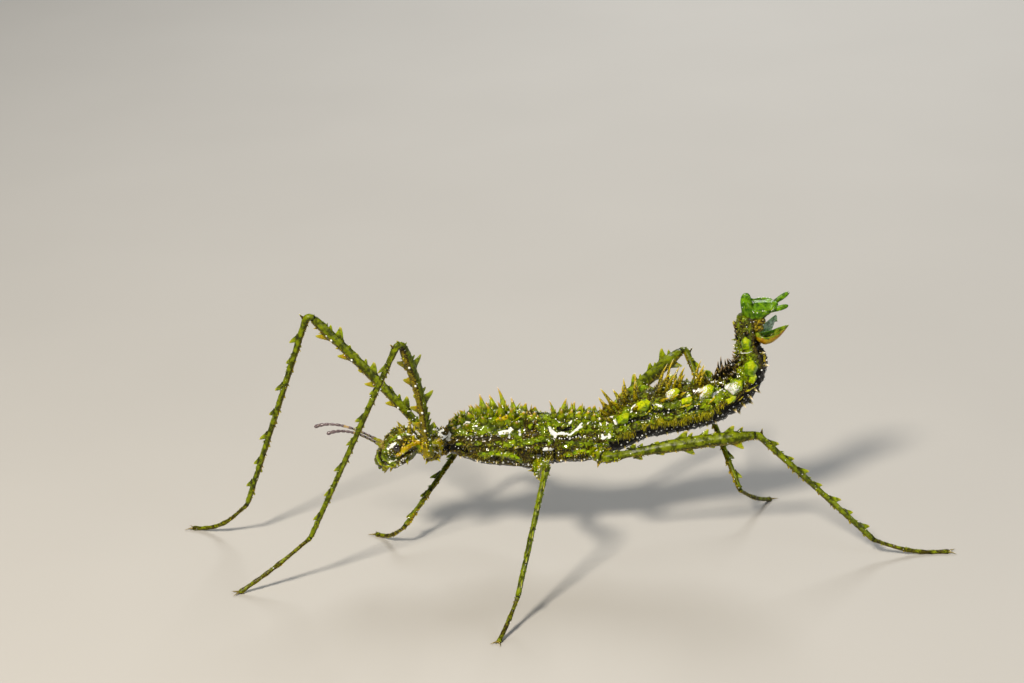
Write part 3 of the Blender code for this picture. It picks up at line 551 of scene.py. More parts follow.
def new_material(name: str) -> tuple[bpy.types.Material, Callable[..., bpy.types.NodeOutputs]]:
    """Make an empty node material.

    Args:
        name: Its name.

    Returns:
        The material, and add_node for its tree.
    """
    made = bpy.data.materials.new(name)
    made.use_nodes = True
    made.node_tree.nodes.clear()
    return made, partial(add_node, made.node_tree)


@dataclass(frozen=True)
class WetCuticle:
    """Wet insect cuticle, mottled green, yellow and black over olive.

    The skin is chitin under a film of water: granular, with a sharp gloss.
    The mottling follows the marks on the mesh, and grains break its borders.

    Attributes:
        name: The material's name.
        olive: Two browns of the ground.
        green: Two greens.
        yellow: Yellow-green and ochre.
        black: The dark of the underside.
        white: The white of pale patches, and of painted glints of the water film.
        tip: Ochre and ivory of the tips of growths.
        mottle: Width of the mottling in millimetres.
        grain: Width of a skin grain in millimetres.
        bump: Height of the grains as a share of their width.
        roughness: Of the cuticle under the film.
        film: Weight of the water film.
        film_roughness: Of the film, greater where it lies over fine grain.
        glow: Weight of light passing through.
        tip_from: Share of a growth's height where its tip's colour begins.
        roots: How dark the painted shade is in grooves and at the roots of growths.
    """

    name: str
    olive: tuple[str, str] = ("#241f00", "#564904")
    green: tuple[str, str] = ("#374400", "#7f9600")
    yellow: tuple[str, str] = ("#b6b400", "#be9a04")
    black: str = "#080703"
    white: str = "#dfe1dc"
    tip: tuple[str, str] = ("#a88a0a", "#cfae88")
    mottle: float = 1.1
    grain: float = 0.22
    bump: float = 0.5
    roughness: float = 0.34
    film: float = 0.9
    film_roughness: float = 0.06
    glow: float = 0.0
    tip_from: float = 0.5
    roots: float = 0.8

    def build(self) -> bpy.types.Material:
        """Make the node material.

        Returns:
            The material.
        """
        made, add = new_material(self.name)
        place = add("TexCoord")["Object"]
        parts = add("SeparateXYZ", {0: add("Attribute", attribute_name="tone")["Vector"]})
        patch, rise = (add("Attribute", attribute_name=key)["Fac"] for key in ("patch", "rise"))
        wide, fine = (
            add("TexNoise", {
                "Vector": place, "Scale": 1.0 / (size * MM), "Detail": detail,
                "Roughness": harshness})[0]
            for size, detail, harshness in ((self.mottle, 3.0, 0.6), (1.6 * self.grain, 2.0, 0.55)))
        grains = add(
            "TexVoronoi", {"Vector": place, "Scale": 1.0 / (self.grain * MM), "Smoothness": 0.35},
            feature="SMOOTH_F1")[0]
        # Noise round zero that breaks the borders of the marks.
        soft, harsh = (
            add("Math", {0: cloud, 1: reach, 2: -0.5 * reach}, operation="MULTIPLY_ADD")[0]
            for cloud, reach in ((wide, 0.5), (fine, 0.9)))
        both = add("Math", {0: soft, 1: harsh}, operation="ADD")[0]
        dots = add("Math", {0: grains, 1: -0.6, 2: 0.2}, operation="MULTIPLY_ADD")[0]
        speck = add("Math", {0: harsh, 1: 0.5, 2: dots}, operation="MULTIPLY_ADD")[0]
        greens, golds, blacks, whites = (
            add("Math", {0: mark, 1: border}, operation="ADD")[0]
            for mark, border in ((parts[0], both), (parts[1], harsh), (parts[2], both), (patch, speck)))
        tips = add("Math", {0: harsh, 1: 0.3, 2: rise}, operation="MULTIPLY_ADD")[0]
        ground, leaf, gold = (
            add("Mix", {
                0: add(
                    "MapRange", {0: cloud, 1: low, 2: high}, interpolation_type="SMOOTHSTEP")[0],
                6: linear(first), 7: linear(second)}, data_type="RGBA")[2]
            for (first, second), cloud, low, high in (
                (self.olive, fine, 0.35, 0.65), (self.green, wide, 0.36, 0.62),
                (self.yellow, wide, 0.4, 0.62)))
        # Colours in the order that they lie over each other: what shows them, the range of it that they
        # come in over, and their share before and after. The fourth is painted shade, black where rise is
        # low: in grooves and at the roots of growths.
        black, tip = linear(self.black), self.tip_from
        layers = (
            (greens, 0.3, 0.7, 0.0, 1.0, leaf), (golds, 0.38, 0.72, 0.0, 1.0, gold),
            (blacks, 0.35, 0.65, 0.0, 1.0, black), (rise, 0.02, 0.42, self.roots, 0.0, black),
            (tips, tip, tip + 0.25, 0.0, 1.0, linear(self.tip[0])),
            (rise, tip + 0.24, tip + 0.44, 0.0, 1.0, linear(self.tip[1])),
            (whites, 0.42, 0.56, 0.0, 1.0, linear(self.white)))
        colour, shares = ground, []
        for value, low, high, before, after, over in layers:
            shares.append(add(
                "MapRange", {0: value, 1: low, 2: high, 3: before, 4: after},
                interpolation_type="SMOOTHSTEP")[0])
            colour = add("Mix", {0: shares[-1], 6: colour, 7: over}, data_type="RGBA")[2]
        # The film thins where the skin is black, and grains roughen it.
        soot = shares[2]
        film = add(
            "Math", {0: soot, 1: -0.75 * self.film, 2: self.film}, operation="MULTIPLY_ADD")[0]
        rough = add(
            "Math", {0: fine, 1: 0.3, 2: self.roughness - 0.15}, operation="MULTIPLY_ADD")[0]
        height = add("Math", {0: fine, 1: 0.8, 2: grains}, operation="MULTIPLY_ADD")[0]
        relief = add("Bump", {
            "Strength": self.bump, "Distance": self.grain * MM * 0.5, "Height": height})[0]
        shader = add("BsdfPrincipled", {
            "Base Color": colour, "Roughness": rough, "IOR": WET_IOR, "Coat Weight": film,
            "Coat Roughness": self.film_roughness, "Coat IOR": WATER_IOR,
            "Subsurface Weight": self.glow, "Subsurface Radius": LEAF_GLOW,
            "Subsurface Scale": 0.6 * MM, "Normal": relief})[0]
        add("OutputMaterial", {0: shader})
        return made


@dataclass(frozen=True)
class PlainChitin:
    """Smooth chitin of one colour with fine clouding, as on eyes and claws.

    Attributes:
        name: The material's name.
        colours: The two colours that cloud into each other.
        size: Width of the clouding in millimetres.
        roughness: Of the surface.
        film: Weight of the water film.
        bump: Height of the fine relief, as a share.
        glow: Weight of light passing through.
    """

    name: str
    colours: tuple[str, str]
    size: float = 0.3
    roughness: float = 0.3
    film: float = 0.5
    bump: float = 0.15
    glow: float = 0.0

    def build(self) -> bpy.types.Material:
        """Make the node material.

        Returns:
            The material.
        """
        made, add = new_material(self.name)
        place = add("TexCoord")["Object"]
        cloud = add(
            "TexNoise", {"Vector": place, "Scale": 1.0 / (self.size * MM), "Detail": 3.0})[0]
        grains = add(
            "TexVoronoi", {"Vector": place, "Scale": 1.0 / (0.3 * self.size * MM)})[0]
        share = add(
            "MapRange", {0: cloud, 1: 0.38, 2: 0.62}, interpolation_type="SMOOTHSTEP")[0]
        colour = add("Mix", {
            0: share, 6: linear(self.colours[0]), 7: linear(self.colours[1])},
            data_type="RGBA")[2]
        rough = add(
            "Math", {0: cloud, 1: 0.2, 2: self.roughness - 0.1}, operation="MULTIPLY_ADD")[0]
        relief = add("Bump", {
            "Strength": self.bump, "Distance": 0.1 * self.size * MM, "Height": grains})[0]
        shader = add("BsdfPrincipled", {
            "Base Color": colour, "Roughness": rough, "IOR": 1.5, "Coat Weight": self.film,
            "Coat Roughness": 0.06, "Subsurface Weight": self.glow,
            "Subsurface Radius": LEAF_GLOW, "Subsurface Scale": 0.8 * MM, "Normal": relief})[0]
        add("OutputMaterial", {0: shader})
        return made


# Ridges, grooves and patches of the skin, by what they are. Places are counted from the nape, so the
# head's are negative. Their white is partly pale marking and partly painted glint of the wet film.
HEAD_STREAKS = {
    "cheek_front": Streak(
        ((-3.55, 92), (-2.95, 89), (-2.5, 80)), 0.46, 0.3, yellow=0.85, white=0.36, ragged=0.3),
    "cheek_band": Streak(((-2.9, 87), (-2.1, 70), (-1.1, 50)), 0.4, 0.3, yellow=1.0, ragged=0.25),
    "cheek_groove": Streak(((-3.5, 105), (-2.7, 101), (-1.9, 90)), 0.26, -0.16, black=0.25),
    "eye_groove": Streak(((-3.5, 80), (-3.0, 72), (-2.3, 60)), 0.22, -0.2, black=0.6),
    "brow": Streak(
        ((-4.3, 46), (-3.6, 40), (-2.9, 34), (-2.2, 40)), 0.3, 0.25, green=0.6, yellow=0.3),
    "inner_rim": Streak(
        ((-4.55, 40), (-4.9, 56), (-5.0, 80), (-4.6, 102), (-4.1, 110)),
        0.17, 0.3, green=0.9, yellow=0.42, ragged=0.3),
    "outer_rim": Streak(
        ((-5.1, 30), (-5.5, 46), (-5.65, 84), (-5.4, 116), (-4.6, 121), (-3.9, 122)),
        0.2, 0.3, green=0.9, yellow=0.5, ragged=0.3),
    "rim_groove": Streak(
        ((-5.0, 34), (-5.22, 56), (-5.32, 84), (-5.0, 108), (-4.3, 115)),
        0.15, -0.26, black=0.75, ragged=0.2),
    "face_hollow": Streak(((-4.6, 62), (-4.3, 80), (-3.8, 97)), 0.62, -0.42, green=1.0, black=0.3),
    "jaw_line": Streak(((-4.3, 112), (-3.6, 116), (-2.9, 112), (-2.2, 104)), 0.2, 0.26, yellow=0.5),
    "face_green": Streak(((-4.4, 48), (-4.0, 58)), 0.45, 0.05, green=1.0),
    "nape_green": Streak(((-0.5, 66), (-0.2, 76)), 0.5, 0.22, green=1.0, yellow=0.2),
    "crown_gold": Streak(((-1.9, 38), (-1.4, 44), (-0.9, 48)), 0.4, 0.05, yellow=0.75, ragged=0.6),
    "crown_groove": Streak(((-4.2, 0), (-2.5, 0), (-1.0, 0)), 0.35, -0.25, black=0.15),
    "throat": Streak(((-2.6, 122), (-1.6, 124), (-0.6, 118)), 0.85, -0.12, green=0.8, yellow=0.5),
    "nape_line": Streak(((-0.25, 96), (-0.2, 120)), 0.4, 0.1, green=0.8, yellow=0.5),
    "shoulder": Streak(
        ((0.7, 84), (1.2, 94), (1.6, 104)), 0.8, 0.4, green=0.4, yellow=0.9, ragged=0.6),
}
THORAX_STREAKS = {
    "flank_ridge": Streak(
        ((4.7, 83), (5.25, 76), (6.0, 69), (6.6, 69), (6.88, 76)), 0.42, 0.4, green=0.95, yellow=0.3),
    "flank_groove": Streak(((5.3, 92), (5.9, 98), (6.4, 102)), 0.4, -0.3, green=0.2, black=0.4),
    "upper_groove": Streak(((2.6, 68), (3.6, 72), (4.6, 74)), 0.34, -0.2, black=0.35),
    "gold_fleck": Streak(((5.1, 87), (5.35, 84)), 0.26, 0.1, yellow=1.1),
    "pink_bump_1": Streak(((3.32, 70), (3.4, 70)), 0.17, 0.22, white=0.62, ragged=0.5),
    "pink_bump_2": Streak(((3.72, 70), (3.78, 70)), 0.15, 0.2, white=0.6, ragged=0.5),
    "pink_bump_3": Streak(((4.05, 60), (4.12, 68), (4.1, 76)), 0.15, 0.2, white=0.6, ragged=0.8),
    "lower_ridge": Streak(
        ((3.65, 109), (4.3, 104), (4.7, 104), (5.1, 108), (5.4, 116)),
        0.5, 0.5, yellow=0.4, green=0.95, ragged=0.5),
    "belly_edge": Streak(((2.8, 122), (4.0, 130), (5.5, 136), (6.4, 142)), 0.26, 0.24, yellow=0.4),
    "rear_ridge": Streak(
        ((7.45, 111), (7.7, 105), (8.0, 102), (8.25, 107), (8.5, 115)),
        0.36, 0.45, yellow=0.6, green=0.9, ragged=0.4),
    "rear_belly_edge": Streak(((7.2, 124), (8.8, 130)), 0.26, 0.24, yellow=0.4),
    "rear_moss": Streak(
        ((7.5, 84), (8.4, 88), (8.9, 96)), 0.5, 0.1, green=0.85, yellow=0.3, ragged=0.8),
    "rear_brown": Streak(((7.2, 82), (7.8, 87), (8.5, 84)), 0.5, -0.12, black=0.28, ragged=0.6),
    "neck_under": Streak(((1.9, 104), (2.5, 96), (3.0, 106)), 0.6, -0.15, black=0.9),
    "hump_gold": Streak(((4.42, 33), (4.62, 27)), 0.52, 0.35, yellow=1.2, ragged=0.35),
    "neck_splash": Streak(((1.72, 38), (1.95, 50), (2.3, 52)), 0.3, 0.2, white=1.0, ragged=0.7),
    "white_fork_3": Streak(((4.98, 44), (5.1, 35)), 0.36, 0.2, white=1.0, ragged=0.3),
    "white_curve": Streak(
        ((7.08, 62), (7.35, 60), (7.62, 64), (7.88, 53), (8.08, 38)), 0.2, 0.1, white=1.0, ragged=0.26),
    "white_twig": Streak(((7.97, 50), (8.15, 46), (8.3, 40)), 0.14, 0.08, white=1.0, ragged=0.5),
    "white_twig_2": Streak(((8.02, 44), (7.9, 36)), 0.11, 0.08, white=1.0, ragged=0.5),
    "dark_curve": Streak(((7.25, 49), (7.5, 52), (7.78, 45)), 0.36, -0.12, black=1.0, ragged=0.2),
    "dark_under_curve": Streak(
        ((7.2, 70), (7.6, 75), (7.95, 65)), 0.22, -0.1, black=0.8, ragged=0.3),
    "hip_bead": Streak(((6.6, 90), (6.9, 96)), 0.4, white=0.85, ragged=0.8),
    "hip_bead_rear": Streak(((8.9, 74), (9.06, 80)), 0.4, white=0.85, ragged=0.8),
}
ABDOMEN_STREAKS = {
    "edge_1": Streak(
        ((9.6, 62), (10.1, 70), (10.28, 60), (10.3, 44)), 0.1, 0.24, yellow=1.0, ragged=0.3),
    "edge_2": Streak(
        ((10.35, 66), (10.9, 70), (11.3, 66), (11.38, 48)), 0.1, 0.24, yellow=1.0, ragged=0.3),
    "edge_3": Streak(
        ((11.5, 70), (12.0, 74), (12.25, 66), (12.28, 46)), 0.1, 0.24, yellow=1.0, ragged=0.3),
    "edge_4": Streak(
        ((12.3, 92), (12.5, 102), (12.75, 110), (13.0, 108)), 0.12, 0.26, yellow=1.0, ragged=0.3),
    "edge_5": Streak(((13.2, 102), (13.4, 118), (13.62, 136)), 0.12, 0.26, yellow=1.0, ragged=0.3),
    "under_1": Streak(((9.6, 68), (10.15, 76)), 0.5, -0.3, black=0.62, ragged=0.5),
    "under_2": Streak(((10.3, 67), (10.6, 71), (11.1, 78)), 0.46, -0.3, black=0.62, ragged=0.5),
    "under_3": Streak(((11.2, 80), (11.5, 78), (12.1, 82)), 0.4, -0.26, black=0.62, ragged=0.5),
    "black_4": Streak(((12.2, 106), (12.8, 124), (13.5, 150)), 0.9, -0.1, black=1.0, ragged=0.2),
    "white_3": Streak(((11.05, 50), (11.3, 44)), 0.24, white=0.9, ragged=0.7),
    "white_5": Streak(((12.2, 60), (12.45, 56)), 0.3, white=0.95, ragged=0.7),
    "white_7": Streak(((12.35, 20), (12.5, 26)), 0.2, white=0.9, ragged=0.6),
    "stem_line": Streak(((14.75, 30), (14.72, 60), (14.75, 100)), 0.1, 0.1, white=0.9, ragged=0.3),
    "stem_glow": Streak(((14.95, 84), (15.1, 78)), 0.5, green=1.0, yellow=0.35),
    "heel_gold": Streak(((13.6, 96), (13.72, 100)), 0.35, yellow=1.0),
    "edge_gold": Streak(((14.1, 140), (14.3, 150)), 0.3, yellow=1.0),
}
# White patches, partly pale marking and partly painted glint of the wet film: line, half width and how far
# the border wanders.
WHITE_AND_GLINT_PATCHES = {
    "crown_patch": (((-2.25, 33), (-2.0, 27), (-1.75, 25)), 0.3, 1.1),
    "crown_fleck": (((-1.55, 34), (-1.5, 32)), 0.14, 0.8),
    "face_patch": (((-3.7, 50), (-3.4, 54), (-3.15, 53)), 0.2, 1.1),
    "face_fleck": (((-3.45, 46), (-3.3, 48)), 0.12, 0.9),
    "temple_patch": (((-2.92, 44), (-2.9, 39)), 0.13, 0.7),
    "nape_patch": (((-0.75, 34), (-0.6, 38)), 0.2, 0.8),
    "shoulder_fleck_1": (((0.8, 64), (0.85, 70)), 0.13, 0.8),
    "shoulder_fleck_2": (((1.45, 76), (1.5, 84)), 0.15, 0.8),
    "shoulder_fleck_3": (((1.1, 104), (1.15, 110)), 0.12, 0.8),
    "hump_white": (((4.6, 13), (4.66, 20)), 0.16, 0.6),
    "white_front": (((2.62, 38), (2.76, 33)), 0.4, 0.3),
    "white_front_2": (((3.12, 34), (3.26, 30)), 0.36, 0.3),
    "white_neck": (((2.2, 62), (2.3, 46)), 0.4, 0.7),
    "white_neck_2": (((1.75, 20), (1.95, 16)), 0.3, 0.6),
    "white_back_1": (((3.42, 18), (3.58, 15)), 0.16, 0.4),
    "white_back_2": (((4.02, 4), (4.12, 2)), 0.16, 0.4),
    "white_back_3": (((4.08, 30), (4.12, 22)), 0.14, 0.4),
    "white_back_4": (((3.85, 44), (3.85, 36)), 0.15, 0.4),
    "white_fork": (((4.42, 62), (4.8, 57), (5.02, 42), (5.1, 36)), 0.34, 0.28),
    "white_prong": (((4.76, 58), (4.83, 70)), 0.2, 0.3),
    "white_fork_2": (((5.04, 45), (5.18, 50), (5.25, 61)), 0.28, 0.35),
    "white_saddle": (((5.85, 26), (5.95, 22)), 0.28, 0.6),
    "white_joint": (((6.95, 50), (7.05, 58), (7.1, 67)), 0.34, 0.6),
    "white_splash": (((8.55, 50), (8.65, 58)), 0.2, 1.0),
    "white_splash_3": (((7.22, 22), (7.3, 30)), 0.24, 0.9),
    "white_splash_4": (((7.64, 36), (7.7, 31)), 0.16, 0.8),
    "white_splash_2": (((8.5, 92), (8.62, 100)), 0.3, 1.0),
    "white_rear": (((8.94, 25), (8.9, 34), (8.92, 46)), 0.22, 0.5),
    "white_root": (((9.2, 46), (9.35, 38)), 0.35, 0.6),
    "white_1": (((9.85, 50), (9.95, 44), (10.0, 38)), 0.26, 0.9),
    "white_0": (((9.4, 52), (9.42, 60)), 0.24, 0.9),
    "white_8": (((10.4, 50), (10.5, 58)), 0.2, 1.0),
    "white_2": (((10.75, 48), (10.85, 36)), 0.5, 0.5),
    "white_4": (((11.7, 36), (11.85, 44)), 0.4, 0.6),
    "white_6": (((12.75, 56), (12.95, 60)), 0.34, 0.6),
}
# Ends of a range of angles that runs on to the back or the belly.
BACK, BELLY = -99.0, 999.0
# Broad colours of the skin: strength, first and last trunk place with the
# softness of those borders, least and greatest angle with theirs.
GREENS = (
    (0.34, 2.5, 9.0, 0.3, 72, 128, 9), (0.72, 6.4, 9.0, 0.2, BACK, 68, 16),
    (0.72, 9.0, 13.9, 0.15, 40, 90, 9), (0.5, 9.0, 12.2, 0.15, 84, 104, 6),
    (0.42, 9.0, 13.2, 0.2, BACK, 38, 8), (0.5, 13.9, 16.5, 0.2, BACK, 122.5, 17.5),
    (0.42, -7.0, 2.0, 0.3, BACK, 110, 20),
)
YELLOWS = (
    (0.75, 0.1, 1.9, 0.2, 50, 140, 15), (0.42, 9.2, 13.7, 0.2, 80, 108, 8),
    (0.3, 2.4, 9.0, 0.3, 40, 125, 10), (0.2, 9.0, 13.7, 0.3, 0, 80, 10),
    (0.3, -6.0, -0.5, 0.3, BACK, 115, 15), (0.35, -3.2, 0.2, 0.3, 126, BELLY, 14),
)
BLACKS = (
    (0.85, 2.3, 9.0, 0.2, 147, BELLY, 9), (1.0, 9.0, 14.0, 0.2, 104, 156, 6),
    (0.62, 12.7, 14.1, 0.25, BACK, 28, 12), (0.22, 1.7, 2.7, 0.2, BACK, 110, 10),
    (0.9, 14.0, 15.2, 0.2, 129, BELLY, 11), (0.15, -6.0, -0.5, 0.3, 135, BELLY, 15),
)


@dataclass
class Skin:
    """The whole skin of head and trunk: its relief and its marks.

    Attributes:
        line: What it is drawn round.
        rib_gap: From one fine lengthwise fold of the flank to the next.
        rib_lift: Height of those folds.
        relief: Width and height of the swells, the lumps and the grains.
    """

    line: Midline
    rib_gap: float = 0.66
    rib_lift: float = 0.105
    relief: tuple[Pair, ...] = ((1.7, 0.2), (0.75, 0.15), (0.34, 0.07))

    def __post_init__(self) -> None:
        """Gather the streaks."""
        self.streaks = [*HEAD_STREAKS.values(), *THORAX_STREAKS.values()]
        self.streaks += ABDOMEN_STREAKS.values()
        for points, width, ragged in WHITE_AND_GLINT_PATCHES.values():
            self.streaks.append(Streak(points, width, white=1.0, ragged=ragged))

    def closeness(
            self, streak: Streak, arc: np.ndarray, folded: np.ndarray, reach: np.ndarray,
            rough: np.ndarray) -> np.ndarray:
        """How near points are to a streak's line, 1 on it and 0 at its edge.

        Args:
            streak: The streak.
            arc: Distance of the points from the lip.
            folded: Their angle from the back's middle.
            reach: Millimetres for one degree of angle.
            rough: Noise that makes the border wander.

        Returns:
            A value from 0 to 1 for each point.
        """
        places = np.array([row[0] for row in streak.line]) + NAPE
        nodes = np.stack((self.line.arc(places), [row[1] for row in streak.line]), axis=1)
        low, high = nodes[:, 0].min() - 2.0, nodes[:, 0].max() + 2.0
        found = np.zeros(len(arc))
        near = np.nonzero((arc > low) & (arc < high))[0]
        if not len(near):
            return found
        a, f, r = arc[near], folded[near], reach[near]
        best = np.full(len(near), 1.0e9)
        for (s0, w0), (s1, w1) in zip(nodes, nodes[1:]):
            du, dv = s1 - s0, (w1 - w0) * r
            pu, pv = a - s0, (f - w0) * r
            share = np.clip((pu * du + pv * dv) / np.maximum(du * du + dv * dv, 1.0e-9), 0.0, 1.0)
            best = np.minimum(best, np.hypot(pu - share * du, pv - share * dv))
        border = streak.width * (1.0 + streak.ragged * rough[near])
        found[near] = 1.0 - smooth(0.45, 1.25, best / np.maximum(border, 0.02))
        return found

    def read(self, place: np.ndarray, angle: np.ndarray) -> tuple[np.ndarray, ...]:
        """Skin points with relief, directions and marks.

        Args:
            place: Places from the lip.
            angle: Degrees from the back's middle, all round.

        Returns:
            Points, outward directions, directions along, tones and patches.
        """
        point, out, along, half = self.line.surface(place, angle)
        trunk = place - NAPE
        folded = np.where(angle > 180.0, 360.0 - angle, angle)
        side = np.where(angle > 180.0, -1.0, 1.0)
        arc = self.line.arc(place)
        reach = math.pi / 180.0 * half.mean(axis=1)
        swell, lump, grain = waves = [
            ripple(point, width, seed) for seed, (width, _) in enumerate(self.relief, start=1)]
        lift = sum(height * wave for (_, height), wave in zip(self.relief, waves))
        ribbed = band(trunk, 2.4, 6.8, 0.2) * band(folded, 70.0, 124.0, 6.0)
        across = folded * reach * 2.0 * math.pi / self.rib_gap
        lift = lift + self.rib_lift * ribbed * np.cos(across + 1.6 * swell)
        tone = self.ground(trunk, folded, swell)
        patch = np.zeros(len(place))
        for streak in self.streaks:
            hold = self.closeness(streak, arc, folded, reach, lump * 1.6 + grain * 1.2)
            lift = lift + streak.lift * hold
            tone[:, 0] = np.maximum(tone[:, 0], streak.green * hold)
            tone[:, 1] = np.maximum(tone[:, 1] * (1.0 - streak.black * hold), streak.yellow * hold)
            tone[:, 2] = np.maximum(
                tone[:, 2] * (1.0 - max(streak.yellow, streak.green) * hold), streak.black * hold)
            patch = np.maximum(patch, streak.white * hold)
        # Each segment's rear border is a dark joint line; low on the thorax's flanks it is blacker still,
        # painted shade of the deeper hollow there.
        for end in SEGMENT_ENDS:
            gone = arc - self.line.arc(np.array([end + NAPE]))[0]
            near = np.exp(-((gone - 0.15) / 0.22) ** 2)
            low = smooth(84.0, 104.0, folded) * (end < 9.5)
            lift += 0.15 * np.exp(-((gone + 0.35) / 0.3) ** 2) - (0.15 + 0.12 * low) * near
            tone[:, 2] = np.maximum(tone[:, 2], (0.3 + 0.5 * low) * near)
        point = point + out * lift[:, None]
        point = self.eye_seats(point, side)
        return point, out, along, tone, patch

    def ground(self, trunk: np.ndarray, folded: np.ndarray, swell: np.ndarray) -> np.ndarray:
        """Broad colours of the skin before its streaks.

        Args:
            trunk: Places from the nape.
            folded: Angles from the back's middle.
            swell: Slow noise that lets the borders wander.

        Returns:
            Rows of green, yellow and black.
        """
        turned = folded + 7.0 * swell
        hump = 0.95 * band(trunk, 2.5, 6.4, 0.35) * (1.0 - smooth(58, 76, turned))
        hump *= 1.0 - 0.7 * band(trunk, 5.3, 6.7, 0.2)
        tones = [
            sum((
                strength * band(trunk, start, end, border) * band(turned, low, high, soft)
                for strength, start, end, border, low, high, soft in washes), first)
            for washes, first in ((GREENS, hump), (YELLOWS, 0.0), (BLACKS, 0.0))]
        return np.stack(tones, axis=1)

    @staticmethod
    def eye_seats(point: np.ndarray, side: np.ndarray) -> np.ndarray:
        """Raise a low round seat under each eye.

        Args:
            point: Points of the skin.
            side: -1 on the left and 1 on the right.

        Returns:
            The points with both seats.
        """
        x, y, z = EYE_CENTRE
        away = np.hypot(point[:, 0] - x, point[:, 2] - z)
        hold = (1.0 - smooth(0.62, 1.15, away)) * (side * point[:, 1] > 0.8)
        rim = 0.2 * np.exp(-((away - 0.7) / 0.14) ** 2)
        level = side * (y - 0.32 + rim)
        made = point.copy()
        made[:, 1] = point[:, 1] * (1.0 - hold) + level * hold
        return made

    def chart(self, place: np.ndarray, angle: np.ndarray) -> np.ndarray:
        """Place on the skin's unwrap, 0 to 1 each way."""
        return np.stack((angle / 360.0 % 1.0, self.line.arc(place) / self.line.length), axis=1)


# Large growths on the trunk, by part: angle of the row, heights in order, half
# width, backwards lean, thickness as a share of the width, hook of the tip.
ROWS = {
    "prothorax": (
        (24.0, (0.9, 1.2), 0.4, 0.1, 1.0, 0.0),
        (72.0, (0.9, 1.0), 0.42, 0.0, 1.0, 0.0),
        (128.0, (0.7, 0.8), 0.36, 0.0, 1.0, 0.0),
    ),
    "mesothorax": (
        (17.0, (0.5, 0.9, 1.1, 2.5, 2.3, 3.2, 2.2, 1.2, 0.7, 1.1, 0.6), 0.5, 0.1, 1.0, 0.15),
        (42.0, (1.0, 1.3, 1.6, 1.9, 1.5, 1.0, 0.9), 0.48, 0.1, 1.0, 0.1),
        (82.0, (0.9, 1.0, 1.2, 1.3, 1.5), 0.6, 0.3, 0.6, 0.2),
        (126.0, (0.6, 0.7, 0.8, 0.7, 0.6), 0.4, 0.0, 1.0, 0.0),
    ),
    "metathorax": (
        (18.0, (2.2, 1.5, 1.0, 0.9, 1.1), 0.48, 0.1, 1.0, 0.1),
        (46.0, (1.0, 1.2, 0.9, 1.0), 0.42, 0.1, 1.0, 0.1),
        (84.0, (1.3, 1.0, 1.2), 0.6, 0.3, 0.6, 0.2),
        (124.0, (0.7, 0.8, 0.7), 0.4, 0.0, 1.0, 0.0),
    ),
    "abdomen_1": (
        (17.0, (2.2, 3.4, 2.6, 3.2, 3.5), 0.5, -0.1, 1.0, 0.25),
        (46.0, (1.3, 1.9, 1.5), 0.46, 0.1, 1.0, 0.3),
        (80.0, (1.2, 1.4), 0.85, 0.5, 0.55, 0.2),
        (132.0, (0.7, 0.8, 0.7), 0.36, 0.0, 1.0, 0.0),
    ),
    "abdomen_2": (
        (17.0, (3.8, 4.0, 2.8, 2.6), 0.5, -0.1, 1.0, 0.35),
        (46.0, (2.0, 1.6, 2.1), 0.46, 0.1, 1.0, 0.4),
        (80.0, (1.4, 1.3), 0.9, 0.55, 0.55, 0.2),
        (132.0, (0.8, 0.7, 0.8), 0.36, 0.0, 1.0, 0.0),
    ),
    "abdomen_3": (
        (17.0, (3.3, 1.9, 2.3), 0.48, 0.0, 1.0, 0.4),
        (46.0, (1.5, 1.8), 0.46, 0.1, 1.0, 0.3),
        (80.0, (1.4, 1.3), 0.85, 0.55, 0.55, 0.2),
        (132.0, (0.7, 0.8), 0.36, 0.0, 1.0, 0.0),
    ),
    "abdomen_4": (
        (17.0, (1.5, 2.4, 2.8, 1.7, 1.5), 0.44, 0.05, 1.0, 0.3),
        (46.0, (1.2, 1.4, 1.2), 0.42, 0.1, 1.0, 0.2),
        (80.0, (1.4, 1.3, 1.1), 0.85, 0.5, 0.55, 0.2),
        (132.0, (0.9, 1.1, 1.2, 1.0), 0.4, 0.1, 1.0, 0.0),
        (160.0, (0.7, 0.9, 0.8), 0.36, 0.1, 1.0, 0.0),
    ),
    "abdomen_5": (
        (20.0, (1.4, 1.2, 0.9), 0.36, 0.1, 1.0, 0.0),
        (84.0, (1.1, 0.9), 0.5, 0.3, 0.6, 0.0),
        (140.0, (1.1, 0.9), 0.36, 0.2, 1.0, 0.0),
    ),
    "abdomen_6": (
        (20.0, (0.7, 0.8), 0.34, 0.3, 1.0, 0.0),
        (90.0, (0.6,), 0.34, 0.2, 1.0, 0.0),
    ),
}
# Trunk parts: first and last trunk place.
SPANS = {
    "prothorax": (0.0, 2.0), "mesothorax": (2.0, 7.0), "metathorax": (7.0, 9.0),
    "abdomen_1": (9.0, 10.3), "abdomen_2": (10.3, 11.4), "abdomen_3": (11.4, 12.3),
    "abdomen_4": (12.3, 13.75), "abdomen_5": (13.75, 14.9), "abdomen_6": (14.9, 16.0),
}
# From the end of a trunk part to its first growth, and from a leg's root.
END_MARGIN = 0.35
BOSS_CLEAR = 1.75
# Spines of the crest on the right side: root, direction, height, half width.
CREST = (
    ((-17.5, 0.75, 20.0), (-0.5, 0.25, 1.0), 2.0, 0.5),
    ((-18.4, 0.7, 19.1), (-0.8, 0.2, 0.8), 1.3, 0.42),
    ((-16.4, 0.7, 19.8), (0.1, 0.3, 1.0), 1.9, 0.5),
    ((-15.9, 1.3, 19.1), (0.25, 0.6, 0.9), 1.4, 0.42),
    ((-17.1, 1.6, 19.2), (-0.1, 0.8, 0.8), 1.2, 0.42),
    ((-17.0, 1.9, 15.9), (0.1, 0.9, -0.7), 0.8, 0.32),
    ((-18.6, 1.8, 15.2), (-0.2, 0.8, -0.8), 0.6, 0.3),
)
